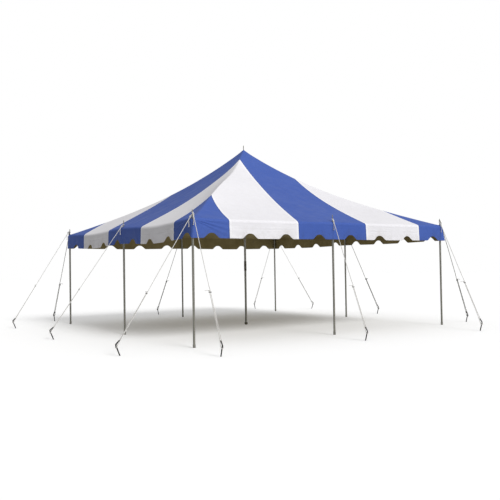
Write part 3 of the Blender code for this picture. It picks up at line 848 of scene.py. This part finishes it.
# The back of the cloth, its dark olive brown a painted shade under the canopy
lining = shaded_lining_material()
galvanised = steel_material(
    "galvanised steel",
    base=(0.165, 0.160, 0.135),
    worn=(0.27, 0.265, 0.235),
    metallic=0.75,
    roughness=(0.35, 0.55),
    spangle=90.0,
    streaks=30.0,
)
dark_steel = steel_material(
    "dark steel",
    base=(0.060, 0.052, 0.035),
    worn=(0.11, 0.10, 0.075),
    metallic=0.55,
    roughness=(0.40, 0.60),
    spangle=130.0,
    streaks=25.0,
)
stake_steel = steel_material(
    "stake steel",
    base=(0.010, 0.010, 0.010),
    worn=(0.030, 0.028, 0.025),
    metallic=0.2,
    roughness=(0.60, 0.80),
    spangle=160.0,
    streaks=25.0,
)
white_rope = rope_material(
    "white rope",
    clean=(0.88, 0.87, 0.85),
    soiled=(0.72, 0.70, 0.66),
    groove_shade=(0.32, 0.31, 0.29),
)
# Painted shade: a dark cord for the ropes that lie in the canopy's shade
shade_darkened_rope = rope_material(
    "rope darkened as painted shade",
    clean=(0.15, 0.14, 0.10),
    soiled=(0.09, 0.085, 0.06),
    groove_shade=(0.045, 0.04, 0.03),
)


# Canopy pieces
def seam_edge(face, index, lap):
    """A panel's edge as a function of the distance out: a seam's line and the lap, never past the hip."""
    return lambda out: seam_side(index) * np.minimum(seam_line(face, index, out) + lap, out)


def hip_edge(side):
    """A panel's edge along a hip, as a function of the distance out."""
    return lambda out: side * out


def declare_cloth(name, legs, finish, node):
    """One panel, with the node it replaces hidden and its flat size worked out."""
    made, area = cloth_piece(name, legs, finish)
    width, length = flat_size(legs)
    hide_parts(node)


for face in FACES:
    low_hip, high_hip = (EDGES_ON_HIP[corner][0] for corner in CORNERS_OF[face])
    breaks = (CROWN_RADIUS, low_hip + LAP, high_hip + LAP)
    edges = (seam_edge(face, 1, LAP), seam_edge(face, 2, LAP))
    grid = leg_grid(face, PIN_HOLE_HALF, breaks, edges, CENTRE_COLUMNS)
    declare_cloth(f"cloth_centre_{face}", [grid], blue_vinyl, f"canopy_centre_{face}")

for corner, (inner_hip, outer_hip) in EDGES_ON_HIP.items():
    ending = next(face for face in FACES if CORNERS_OF[face][1] == corner)
    starting = next(face for face in FACES if CORNERS_OF[face][0] == corner)
    top = inner_hip - LAP
    notch = outer_hip + LAP
    end_edges = (seam_edge(ending, 2, -LAP), seam_edge(ending, 3, LAP))
    start_edges = (seam_edge(starting, 0, LAP), seam_edge(starting, 1, -LAP))
    legs = [leg_grid(ending, top, (notch,), end_edges, WHITE_COLUMNS, white=True),
            leg_grid(starting, top, (notch,), start_edges, WHITE_COLUMNS, white=True)]
    declare_cloth(f"cloth_white_{corner}", legs, white_vinyl, f"canopy_white_{corner}")
    top = outer_hip - LAP
    end_edges = (seam_edge(ending, 3, -LAP), hip_edge(1))
    start_edges = (hip_edge(-1), seam_edge(starting, 0, -LAP))
    legs = [leg_grid(ending, top, (), end_edges, CORNER_COLUMNS),
            leg_grid(starting, top, (), start_edges, CORNER_COLUMNS)]
    declare_cloth(f"cloth_corner_{corner}", legs, blue_vinyl, f"canopy_corner_{corner}")


# Turned and swept pieces
CORNER_STEPS = 4
CORNER_SHARE = 0.45
PARALLEL = 1e-9
LEAST_POINTS = 4
SHARP_ANGLE = 40


def circle(sides):
    """Angles of the points of a circle, evenly spaced."""
    return np.arange(sides) * 2 * math.pi / sides


def turned_grid(outline, sides, base=(0.0, 0.0, 0.0), axis=(0.0, 0.0, 1.0)):
    """Grid of a shape turned about an axis: each (radius, height) of the outline carried round a circle."""
    outline = np.asarray(outline, float)
    angle = circle(sides)
    ring = np.stack([np.cos(angle), np.sin(angle), np.zeros(sides)], axis=-1)
    points = outline[:, :1, None] * ring[None] + outline[:, 1, None, None] * UP
    return points @ turn_to(axis).T + np.asarray(base, float)


def turn_to(axis):
    """The turn that takes straight up to a direction, as a 3 by 3 matrix."""
    axis = unit(np.asarray(axis, float))
    side = np.cross(UP, axis)
    if np.linalg.norm(side) < PARALLEL:
        return np.eye(3)
    angle = math.atan2(np.linalg.norm(side), axis[2])
    return np.array(Matrix.Rotation(angle, 3, tuple(unit(side))))


def square_to(path, facing):
    """Two directions square to a path at each point, the first one square to the facing direction too."""
    tangent = unit(np.gradient(path, axis=0))
    side = unit(np.cross(facing, tangent))
    return side[:, None], np.cross(tangent, side)[:, None]


def swept_grid(path, radius, sides, facing):
    """Grid of a round bar: a circle of its radius, square to the path at each point."""
    side, up = square_to(path, facing)
    angle = circle(sides)[None, :, None]
    return path[:, None] + radius * (np.cos(angle) * side + np.sin(angle) * up)


def run_along(path):
    """Length from the start of a path to each of its points."""
    steps = np.linalg.norm(np.diff(path, axis=0), axis=1)
    return np.concatenate([[0.0], np.cumsum(steps)])


def arc(start, corner, end, steps):
    """Points of the quadratic curve that leaves for a corner and arrives from it."""
    share = np.linspace(0, 1, steps + 1)[:, None]
    return (1 - share) ** 2 * start + 2 * share * (1 - share) * corner + share ** 2 * end


def even_path(points, spacing, rounds=3):
    """A smooth path through control points: corners cut at their quarters, then even steps along it."""
    points = np.asarray(points, float)
    for _ in range(rounds):
        cut = np.empty((2 * len(points) - 2, 3))
        cut[0::2] = 0.75 * points[:-1] + 0.25 * points[1:]
        cut[1::2] = 0.25 * points[:-1] + 0.75 * points[1:]
        points = np.vstack([points[:1], cut, points[-1:]])
    length = run_along(points)
    at = np.linspace(0.0, length[-1], max(int(length[-1] / spacing), LEAST_POINTS))
    return np.stack([np.interp(at, length, points[:, axis]) for axis in range(3)], axis=-1)


def solid_piece(name, parts, finish, nodes, uv_name="surface", sharp=SHARP_ANGLE):
    """A piece from closed round grids. Each part is (grid, groove values or None, mode).

    Mode "bar" closes both ends with a cap, and mode "ring" joins the last row to the first. A point's flat
    place is its share of the way round and its row's length along the middle line.
    """
    points, faces, caps, flats, grooves = [], [], [], [], []
    first = 0
    for grid, groove, mode in parts:
        rows, columns = grid.shape[:2]
        numbers = point_numbers(first, rows, columns)
        if mode == "ring":
            numbers = np.vstack([numbers, numbers[:1]])
        else:
            caps += [numbers[0, ::-1].tolist(), numbers[-1].tolist()]
        faces.append(grid_faces(np.hstack([numbers, numbers[:, :1]]), flip=True))
        around = np.arange(columns) / columns
        down = run_along(grid.mean(axis=1))
        flats.append(np.stack(np.broadcast_arrays(around[None, :], down[:, None]), axis=-1).reshape(-1, 2))
        grooves.append(np.zeros(rows * columns) if groove is None else groove.ravel())
        points.append(grid.reshape(-1, 3))
        first += rows * columns
    points = np.concatenate(points)
    flats = np.concatenate(flats)
    faces = np.concatenate(faces).tolist() + caps
    mesh = bpy.data.meshes.new(name)
    mesh.from_pydata(points.tolist(), [], faces)
    corners = np.empty(len(mesh.loops), np.int32)
    mesh.loops.foreach_get("vertex_index", corners)
    uv = mesh.uv_layers.new(name=uv_name)
    uv.data.foreach_set("uv", flats[corners].astype(np.float32).ravel())
    values = np.concatenate(grooves).astype(np.float32)
    mesh.attributes.new("groove", "FLOAT", "POINT").data.foreach_set("value", values)
    mesh.shade_smooth()
    mesh.set_sharp_from_angle(angle=math.radians(sharp))
    mesh.materials.append(finish)
    made = new_object(name, mesh)
    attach(made, "root")
    if nodes:
        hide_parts(*nodes)


def rounded(outline, size):
    """An outline with its inner corners cut off by arcs, smaller where the sides next to them are short."""
    outline = [np.asarray(point, float) for point in outline]
    result = [outline[0]]
    for before, corner, after in zip(outline[:-2], outline[1:-1], outline[2:]):
        back = before - corner
        ahead = after - corner
        cut = min(size, CORNER_SHARE * np.linalg.norm(back), CORNER_SHARE * np.linalg.norm(ahead))
        result.extend(arc(corner + unit(back) * cut, corner, corner + unit(ahead) * cut, CORNER_STEPS))
    result.append(outline[-1])
    return np.array(result)


# Eyelets in the cloth round the pins
EYELET = np.array((
    (0.0190, -0.0012), (0.0215, 0.0004), (0.0210, 0.0022), (0.0180, 0.0036),
    (0.0140, 0.0038), (0.0112, 0.0026), (0.0106, 0.0006), (0.0112, -0.0012),
))
EYELET_SIDES = 36
ABOVE_ALL = 5.0


def cloth_at(cloths, x, y):
    """Place and normal of the highest cloth that a line straight down at a plan position meets."""
    hits = [piece.ray_cast((x, y, ABOVE_ALL), (0.0, 0.0, -1.0)) for piece in cloths]
    hit = max((hit for hit in hits if hit[0]), key=lambda hit: hit[1].z)
    return np.array(hit[1]), np.array(hit[2])


bpy.context.view_layer.update()
cloths = [made for made in bpy.data.objects if made.name.startswith("cloth_")]
for name, pole in POLES.items():
    place, normal = cloth_at(cloths, pole[0] * POLE_LINE, pole[1] * POLE_LINE)
    ring = turned_grid(EYELET, EYELET_SIDES, place, normal)
    solid_piece(f"eyelet_{name}", [(ring, None, "ring")], dark_steel, [])


# Poles
TUBE_SIDES = 40
PLATE_SIDES = 64
SLEEVE_SIDES = 48
BOLT_SIDES = 18
POLE_END = 0.0015
FOOT_BEAD = 0.0012
COLLAR_LENGTH = 0.090
COLLAR_RISE = 0.0016
CENTRE_COLLAR_LENGTH = 0.098
CENTRE_COLLAR_RISE = 0.0018
BORE = PIN_RADIUS + SEAT_GAP
LOWER_TUBE_ROW = 0.7
UPPER_TUBE_ROW = 2.5


def seat_height(middle, radius):
    """Height of a flat round top just below the cloth, as in the part.

    The roof's height at the far side of the top, at the middle of one of the part's flats, less the part's
    cloth and a gap.
    """
    reach = middle + radius * math.cos(math.pi / SEAT_SIDES)
    return roof_height(reach) - CLOTH - SEAT_GAP


def foot_outline(radius, height):
    """Outline of a foot cap: from its middle out to its edge and up to the bead at its top."""
    return [
        (POLE_END, 0.0),
        (radius, 0.0),
        (radius, height - 0.008),
        (radius + FOOT_BEAD, height - 0.006),
        (radius + FOOT_BEAD, height - 0.001),
    ]


def pin_outline(tip):
    """Outline of the upper end of a pin: straight, then in to a blunt tip."""
    return [(PIN_RADIUS, tip - 0.010), (PIN_RADIUS * 0.62, tip - 0.001), (0.0008, tip)]


def side_pole_outline(top, tip):
    """Outline of a side pole: foot cap, tube, collar under the cloth, shoulder and pin."""
    radius = POLE_RADIUS
    return rounded([
        *foot_outline(POLE_FOOT_RADIUS, POLE_FOOT_HEIGHT),
        (radius, POLE_FOOT_HEIGHT + 0.0015),
        (radius, 0.5 * top),
        (radius, top - COLLAR_LENGTH - 0.002),
        (radius + COLLAR_RISE, top - COLLAR_LENGTH),
        (radius + COLLAR_RISE, top - 0.004),
        (radius - 0.002, top),
        (PIN_RADIUS + 0.001, top + 0.0003),
        (PIN_RADIUS, top + 0.002),
        *pin_outline(tip),
    ], size=0.0018)


for name, pole in POLES.items():
    top = seat_height(POLE_LINE, POLE_RADIUS)
    outline = side_pole_outline(top, roof_height(POLE_LINE) + SIDE_PIN_RISE)
    base = (pole[0] * POLE_LINE, pole[1] * POLE_LINE, 0.0)
    solid_piece(f"pole_{name}", [(turned_grid(outline, TUBE_SIDES, base), None, "bar")], galvanised,
                [f"side_pole_{name}"])

# Crown plate
plate_top = seat_height(0, CROWN_RADIUS)
plate_bottom = plate_top - CROWN_THICKNESS
plate = np.array([
    (CROWN_RADIUS - 0.002, plate_bottom),
    (CROWN_RADIUS, plate_bottom + 0.002),
    (CROWN_RADIUS, plate_top - 0.003),
    (CROWN_RADIUS - 0.003, plate_top),
    (BORE, plate_top),
    (BORE, plate_bottom),
])
solid_piece("crown_plate_disc", [(turned_grid(plate, PLATE_SIDES), None, "ring")], dark_steel,
            ["crown_plate"])

# Centre pole: lower tube, foot socket, upper tube with its pin, sleeve with both ends of two bolts
low_outline = rounded([
    *foot_outline(CENTRE_FOOT_RADIUS, CENTRE_FOOT_HEIGHT),
    (CENTRE_POLE_RADIUS, CENTRE_FOOT_HEIGHT + 0.002),
    (CENTRE_POLE_RADIUS, LOWER_TUBE_ROW),
    (CENTRE_POLE_RADIUS, JOINT_Z - SEAT_GAP / 2),
    (0.001, JOINT_Z - SEAT_GAP / 2),
], size=0.0018)
solid_piece("centre_tube_lower", [(turned_grid(low_outline, TUBE_SIDES), None, "bar")], galvanised,
            ["centre_pole_lower"])

SOCKET_HEIGHT = 0.050
socket = CENTRE_FOOT_RADIUS + 0.0015
shoe = np.array([
    (socket, 0.002),
    (socket + 0.0045, 0.002),
    (socket + 0.0055, 0.004),
    (socket + 0.0045, SOCKET_HEIGHT - 0.004),
    (socket + 0.0025, SOCKET_HEIGHT),
    (socket, SOCKET_HEIGHT),
])
solid_piece("centre_shoe", [(turned_grid(shoe, SLEEVE_SIDES), None, "ring")], dark_steel, [])

high_top = plate_bottom - SEAT_GAP
high_outline = rounded([
    (0.001, JOINT_Z + SEAT_GAP / 2),
    (CENTRE_POLE_RADIUS, JOINT_Z + SEAT_GAP / 2),
    (CENTRE_POLE_RADIUS, UPPER_TUBE_ROW),
    (CENTRE_POLE_RADIUS, high_top - CENTRE_COLLAR_LENGTH - 0.002),
    (CENTRE_POLE_RADIUS + CENTRE_COLLAR_RISE, high_top - CENTRE_COLLAR_LENGTH),
    (CENTRE_POLE_RADIUS + CENTRE_COLLAR_RISE, high_top - 0.002),
    (CENTRE_POLE_RADIUS - 0.001, high_top),
    (PIN_RADIUS, high_top),
    *pin_outline(PEAK_Z + PEAK_PIN_RISE),
], size=0.0015)
solid_piece("centre_tube_upper", [(turned_grid(high_outline, TUBE_SIDES), None, "bar")], galvanised,
            ["centre_pole_upper"])

SLEEVE_BEAD = 0.0012
SLEEVE_SEAM = 0.0008
BOLT_OFFSET = 0.07
inside = CENTRE_POLE_RADIUS + SEAT_GAP
outside = inside + SLEEVE_WALL
low = JOINT_Z - SLEEVE_LENGTH / 2
high = JOINT_Z + SLEEVE_LENGTH / 2
sleeve = np.array([
    (inside, low),
    (outside - 0.001, low),
    (outside + SLEEVE_BEAD, low + 0.002),
    (outside + SLEEVE_BEAD, low + 0.012),
    (outside, low + 0.014),
    (outside, JOINT_Z - 0.006),
    (outside + SLEEVE_SEAM, JOINT_Z - 0.004),
    (outside + SLEEVE_SEAM, JOINT_Z + 0.004),
    (outside, JOINT_Z + 0.006),
    (outside, high - 0.014),
    (outside + SLEEVE_BEAD, high - 0.012),
    (outside + SLEEVE_BEAD, high - 0.002),
    (outside - 0.001, high),
    (inside, high),
])
bolt = rounded([
    (0.0005, outside - 0.002),
    (0.0065, outside - 0.002),
    (0.0065, outside + 0.0035),
    (0.0052, outside + 0.0052),
    (0.0005, outside + 0.0056),
], size=0.0008)
bolts = [(turned_grid(bolt, BOLT_SIDES, (0.0, 0.0, height), direction), None, "bar")
         for height in (JOINT_Z - BOLT_OFFSET, JOINT_Z + BOLT_OFFSET)
         for direction in ((0.0, -1.0, 0.0), (0.0, 1.0, 0.0))]
solid_piece("joint_sleeve", [(turned_grid(sleeve, SLEEVE_SIDES), None, "ring"), *bolts], dark_steel,
            ["centre_pole_sleeve"])


# Guy ropes, slides and stakes
EYE_RADIUS = PIN_RADIUS + SEAT_GAP + ROPE_RADIUS


class GuyLine:
    """Places of one rope and its stake, worked out as in the part."""

    def __init__(self, pole, pull, distance, shift, level):
        """From the pin to the stake, and from both the loop's middle, the rope's direction and the slide."""
        self.name = f"{pole}_to_{pull}" if "middle" not in pole else pole
        outward = np.array(OUTWARD[pull], float)
        place = POLES[pole]
        pin = np.array((place[0] * POLE_LINE, place[1] * POLE_LINE, 0.0))
        sideways = np.array((abs(outward[1]), abs(outward[0]), 0.0))
        self.ground = pin + outward * distance + sideways * shift
        self.ring = pin.copy()
        self.ring[2] = roof_height(POLE_LINE) + RING_HEIGHT + level * RING_STEP
        inward = self.ring - self.ground
        inward[2] = 0.0
        inward = unit(inward)
        self.inward = inward
        # The place on the turn round the pin that is nearest to the stake
        self.top = self.ring - inward * EYE_RADIUS
        self.lean = math.cos(STAKE_LEAN) * UP - math.sin(STAKE_LEAN) * inward
        self.head = self.ground + STAKE_SHAFT * self.lean
        self.arm_end = self.head + ARM_LENGTH * (math.cos(ARM_RISE) * inward + math.sin(ARM_RISE) * UP)
        on_shaft = self.head - LOOP_BELOW_BEND * self.lean
        self.pull = unit(self.top - on_shaft)
        turn = math.acos(float(self.lean @ self.pull))
        behind = (STAKE_RADIUS + LOOP_GAP + ROPE_RADIUS) / math.sin(turn)
        self.loop_centre = on_shaft + self.pull * (LOOP_RADIUS - behind)
        self.across = unit(np.cross(self.pull, UP))
        self.slide = self.loop_centre + (self.top - self.loop_centre) * SLIDE_SHARE


ROPE_SIDES = 12
ROPE_LAY = 0.045
ROPE_STEP = 0.0055
ROPE_SHARP_ANGLE = 80
# Three strands that touch one another: radius and distance from the middle, as shares of the rope's radius
STRAND_RADIUS = 0.4641
STRAND_CENTRE = 0.5359
STRAND_TURN = 2 * math.pi / 3
STRAND_PHASE = math.pi / 12
GROOVE_FLOOR = 0.62


def twisted_grid(path, radius, facing):
    """Grid of a three-strand rope.

    The distance from the middle is the outermost of three circles round it, no less than a set share of the
    rope's radius, and the three turn once about the rope in every lay.
    """
    side, up = square_to(path, facing)
    angle = circle(ROPE_SIDES)
    offset = np.mod(angle + STRAND_PHASE, STRAND_TURN) - STRAND_TURN / 2
    inside = np.maximum(STRAND_RADIUS ** 2 - (STRAND_CENTRE * np.sin(offset)) ** 2, 0.0)
    shape = np.maximum(STRAND_CENTRE * np.cos(offset) + np.sqrt(inside), GROOVE_FLOOR)
    turn = (angle[None, :] + (2 * math.pi / ROPE_LAY) * run_along(path)[:, None])[..., None]
    ring = np.cos(turn) * side + np.sin(turn) * up
    grid = path[:, None] + radius * shape[None, :, None] * ring
    return grid, np.broadcast_to((1.0 - shape) / (1.0 - GROOVE_FLOOR), grid.shape[:2])


COIL_POINTS = 20
COIL_STEP = 0.004
UPRIGHT = 0.9


def coil(centre, axis, coil_radius, turns, rise, radius):
    """Part of a rope wound into a coil: a circle about an axis whose height grows evenly with its angle."""
    side = unit(np.cross(axis, UP if abs(axis[2]) < UPRIGHT else np.array((1.0, 0.0, 0.0))))
    share = np.linspace(0, 1, int(turns * COIL_POINTS))
    angle = 2 * math.pi * turns * share[:, None]
    ring = np.cos(angle) * side + np.sin(angle) * np.cross(axis, side)
    path = even_path(centre + coil_radius * ring + rise * (share[:, None] - 0.5) * axis, COIL_STEP, 1)
    return (*twisted_grid(path, radius, axis), "bar")


# The turn round the pin, in degrees from its side towards the stake, and the points of both turns
EYE_TURN = (60, 300)
EYE_POINTS = 17
LOOP_POINTS = 13
# Below the pin the rope and its tail lie side by side, bound together, and the tail hangs down
BOUND_DOWN = 0.066
BOUND_HALF = 0.0066
TAIL_DROP = 0.016
TAIL_BESIDE = 0.9
TAIL_HANG = np.array(((0.010, -0.035), (0.012, -0.075), (0.007, -0.115), (0.009, -0.150)))
# Below the slide two strands lie side by side, close together down to where they part round the stake
PAIR_HALF = 0.0085
PAIR_END = 0.16
LOOP_STRAIGHT = 0.04
SLIDE_STRAIGHT = 0.03
BINDING_STRAIGHT = 0.12
ABOVE_SLIDE = 0.16
ROPE_END = 0.022


def rope_path(line):
    """Control points of a rope, from its hanging tail to its end at the slide.

    The tail goes up to the binding. The rope turns round the pin, comes back to the binding, runs down
    through the slide, turns half a circle round the stake and returns beside itself to the slide.
    """
    pull = line.pull
    across = line.across
    angle = np.radians(np.linspace(*EYE_TURN, EYE_POINTS))[:, None]
    aside = np.cross(UP, line.inward)
    eye = line.ring + EYE_RADIUS * (np.sin(angle) * aside - np.cos(angle) * line.inward)
    beside = BOUND_HALF * across
    bound = line.top - BOUND_DOWN * pull
    tail = bound - TAIL_DROP * pull - TAIL_BESIDE * beside
    hanging = tail - TAIL_HANG[:, :1] * line.inward + TAIL_HANG[:, 1:] * UP
    half_turn = np.linspace(0, math.pi, LOOP_POINTS)[:, None]
    loop = line.loop_centre + LOOP_RADIUS * (np.cos(half_turn) * across - np.sin(half_turn) * pull)
    first = line.slide + PAIR_HALF * across
    second = line.slide - PAIR_HALF * across
    return np.array([
        *hanging[::-1],
        tail,
        bound - beside,
        *eye[::-1],
        bound + beside,
        line.top - BINDING_STRAIGHT * pull,
        line.slide + ABOVE_SLIDE * pull,
        first + SLIDE_STRAIGHT * pull,
        first,
        first - SLIDE_STRAIGHT * pull,
        line.loop_centre + PAIR_HALF * across + PAIR_END * pull,
        line.loop_centre + LOOP_RADIUS * across + LOOP_STRAIGHT * pull,
        *loop,
        line.loop_centre - LOOP_RADIUS * across + LOOP_STRAIGHT * pull,
        line.loop_centre - PAIR_HALF * across + PAIR_END * pull,
        second - SLIDE_STRAIGHT * pull,
        second,
        second + ROPE_END * pull,
    ])


SLIDE_TAIL_STEP = 0.005


def slide_tail_path(line):
    """The rope's end beside the slide: a short bend outwards and down."""
    start = line.slide - 0.010 * line.across + 0.030 * line.pull
    bend = start - 0.030 * line.across + 0.006 * line.pull
    end = start - 0.075 * line.across + 0.010 * line.pull - 0.012 * UP
    return even_path([start, bend, end], SLIDE_TAIL_STEP, 2)


def rope_parts(line):
    """A rope's grids: rope, binding under the pin, knot in the tail, end at the slide and its knot."""
    facing = unit(np.cross(line.across, line.pull))
    path = even_path(rope_path(line), ROPE_STEP)
    binding = line.top - 0.052 * line.pull
    tail_knot = path[0] + 0.010 * UP
    slide_knot = line.slide - 0.0115 * line.across + 0.026 * line.pull
    return [
        (*twisted_grid(path, ROPE_RADIUS, facing), "bar"),
        coil(binding, line.pull, coil_radius=0.0135, turns=4.1, rise=0.034, radius=0.0046),
        coil(tail_knot, UP, coil_radius=0.0062, turns=1.6, rise=0.010, radius=0.0056),
        (*twisted_grid(slide_tail_path(line), 0.0048, facing), "bar"),
        coil(slide_knot, line.pull, coil_radius=0.0072, turns=2.2, rise=0.016, radius=0.0050),
    ]


SLIDE_LENGTH = 0.056
SLIDE_WIDTH = 0.022
SLIDE_THICKNESS = 0.008
SLIDE_TILT = 0.25
SLIDE_END = 0.12
SLIDE_SIDES = 16
SLIDE_SECTIONS = 25
WIDE_POWER = 0.6
THICK_POWER = 0.8


def slide_grid(line):
    """A flat bar across the rope.

    Each section is an oblong rounded by powers of cosine and sine. The sections shrink towards both ends by
    the root of one less the sixth power of the share of the way.
    """
    angle = circle(SLIDE_SIDES)
    spine = np.linspace(-1, 1, SLIDE_SECTIONS)
    size = np.sqrt(np.clip(1 - np.abs(spine) ** 6, 0, 1))
    size[[0, -1]] = SLIDE_END
    across = line.across
    normal = unit(line.pull + SLIDE_TILT * UP)
    normal = unit(normal - across * float(normal @ across))
    side = np.cross(normal, across)
    wide = np.sign(np.cos(angle)) * np.abs(np.cos(angle)) ** WIDE_POWER
    thick = np.sign(np.sin(angle)) * np.abs(np.sin(angle)) ** THICK_POWER
    points = line.slide + (0.5 * SLIDE_LENGTH * spine)[:, None, None] * across
    points = points + (size[:, None] * 0.5 * SLIDE_WIDTH * wide)[..., None] * side
    points = points + (size[:, None] * 0.5 * SLIDE_THICKNESS * thick)[..., None] * normal
    return points[::-1]


# How far past the arm's end each ring of its blunt tip lies, and its share of the rod's width
STAKE_TIP = ((0.0025, 0.86), (0.0045, 0.55))
STAKE_SIDES = 20
SHAFT_STEPS = 8
BEND_STEPS = 8
ARM_STEPS = 6


def stake_grid(line):
    """Grid of a stake: a round bar along its shaft, an arc and its arm.

    The foot is cut level with the ground, and the arm's end is closed by two smaller rings.
    """
    arm = unit(line.arm_end - line.head)
    bend_half = (math.pi - math.acos(float(-line.lean @ arm))) / 2
    reach = BEND_RADIUS * math.tan(bend_half)
    bend = arc(line.head - line.lean * reach, line.head, line.head + arm * reach, BEND_STEPS)
    shaft = line.ground + (bend[0] - line.ground) * np.linspace(0, 1, SHAFT_STEPS + 1)[:-1, None]
    end = bend[-1] + (line.arm_end - bend[-1]) * np.linspace(0, 1, ARM_STEPS + 1)[1:, None]
    facing = unit(np.cross(line.inward, UP))
    rod = swept_grid(np.vstack([shaft, bend, end]), STAKE_RADIUS, STAKE_SIDES, facing)
    rod[0] = rod[0] - line.lean * (rod[0][:, 2:] / line.lean[2])
    tip = []
    for beyond, share in STAKE_TIP:
        ring = rod[-1] + arm * beyond
        centre = ring.mean(axis=0)
        tip.append(centre + (ring - centre) * share)
    return np.concatenate([rod, tip])


# Ropes given a darker cord than the rest, as painted shade
SHADE_DARKENED_LINES = ("front_right_to_right", "right_middle", "back_middle", "back_left_to_back")
ropes_on_pin = {}
for pole, pull, distance, shift in GUY_LINES:
    level = ropes_on_pin.get(pole, 0)
    ropes_on_pin[pole] = level + 1
    line = GuyLine(pole, pull, distance, shift, level)
    finish = shade_darkened_rope if line.name in SHADE_DARKENED_LINES else white_rope
    solid_piece(f"rope_{line.name}", rope_parts(line), finish, [f"guy_rope_{line.name}"],
                uv_name="rope", sharp=ROPE_SHARP_ANGLE)
    solid_piece(f"slide_{line.name}", [(slide_grid(line), None, "bar")], stake_steel, [])
    solid_piece(f"rod_{line.name}", [(stake_grid(line), None, "bar")], stake_steel,
                [f"stake_{line.name}"])


# Floor, light and camera
FLOOR_HALF = 60.0


def floor():
    """A level square of four points with a pale matt finish that glows a little."""
    mesh = bpy.data.meshes.new("floor")
    low, high = -FLOOR_HALF, FLOOR_HALF
    corners = [(low, low, 0), (high, low, 0), (high, high, 0), (low, high, 0)]
    mesh.from_pydata(corners, [], [(0, 1, 2, 3)])
    made = new_object("floor", mesh)
    material, shader = new_material("pale floor")
    set_inputs(shader, {
        "Base Color": (0.97, 0.97, 0.97, 1.0),
        "Roughness": 0.9,
        "Specular IOR Level": 0.0,
        "Emission Color": (1.0, 1.0, 1.0, 1.0),
        "Emission Strength": 0.14,
    })
    mesh.materials.append(material)
    # The light from below comes from the studio's own lower half, so that the floor may be pale
    made.visible_diffuse = False


SKY_AT_HORIZON = 0.10
SKY_OVERHEAD = 0.72
LIGHT_FROM_BELOW = 0.40


def studio():
    """Backdrop that looks white, its light growing evenly with the sine of the height, and even below."""
    world = bpy.data.worlds.new("studio")
    bpy.context.scene.world = world
    world.use_nodes = True
    nodes = Nodes(world)
    background = world.node_tree.nodes["Background"]
    set_inputs(background, {"Color": (1.0, 1.0, 1.0, 1.0)})
    direction = nodes.add("ShaderNodeTexCoord").outputs["Generated"]
    split = nodes.add("ShaderNodeSeparateXYZ")
    nodes.join(direction, split.inputs[0])
    above = nodes.ramp(split.outputs["Z"], 0.0, 1.0, SKY_AT_HORIZON, SKY_OVERHEAD)
    is_below = nodes.math("LESS_THAN", split.outputs["Z"], 0.0)
    below = nodes.math("MULTIPLY", is_below, LIGHT_FROM_BELOW - SKY_AT_HORIZON)
    light = nodes.math("ADD", above, below)
    seen = nodes.add("ShaderNodeLightPath").outputs["Is Camera Ray"]
    nodes.join(nodes.math("MAXIMUM", light, seen), background.inputs["Strength"])


floor()
studio()
bpy.context.scene.view_settings.view_transform = "Standard"


def sun(name, direction, strength, angle):
    """A sun that shines from a direction, its disc so many degrees wide."""
    lamp = bpy.data.lights.new(name, "SUN")
    lamp.energy = strength
    lamp.angle = math.radians(angle)
    made = new_object(name, lamp)
    made.rotation_mode = "QUATERNION"
    made.matrix_world = Matrix(turn_to(direction).tolist()).to_4x4()


sun("key", (0.05, -0.82, 0.57), 2.15, 24)
sun("low fill", (0.34, -0.94, 0.04), 0.50, 30)

CAMERA_PLACE = (-8.4356, -12.7664, 1.3473)
CAMERA_YAW = math.radians(33.8826)
CAMERA_PITCH = math.radians(1.3113)
CAMERA_ROLL = math.radians(-0.8909)
FOCAL_PIXELS = 668.82
FRAME_PIXELS = 500.0
SENSOR_WIDTH = 36.0
FARTHEST = 200.0

camera_data = bpy.data.cameras.new("camera")
camera_data.sensor_width = SENSOR_WIDTH
camera_data.lens = SENSOR_WIDTH * FOCAL_PIXELS / FRAME_PIXELS
camera_data.clip_end = FARTHEST
camera = new_object("camera", camera_data)
level_ahead = np.array((math.sin(CAMERA_YAW), math.cos(CAMERA_YAW), 0.0))
level_right = np.array((math.cos(CAMERA_YAW), -math.sin(CAMERA_YAW), 0.0))
ahead = math.cos(CAMERA_PITCH) * level_ahead + math.sin(CAMERA_PITCH) * UP
level_up = np.cross(level_right, ahead)
pose = np.eye(4)
pose[:3, 0] = math.cos(CAMERA_ROLL) * level_right + math.sin(CAMERA_ROLL) * level_up
pose[:3, 1] = math.cos(CAMERA_ROLL) * level_up - math.sin(CAMERA_ROLL) * level_right
pose[:3, 2] = -ahead
pose[:3, 3] = CAMERA_PLACE
camera.matrix_world = Matrix(pose.tolist())
bpy.context.scene.camera = camera
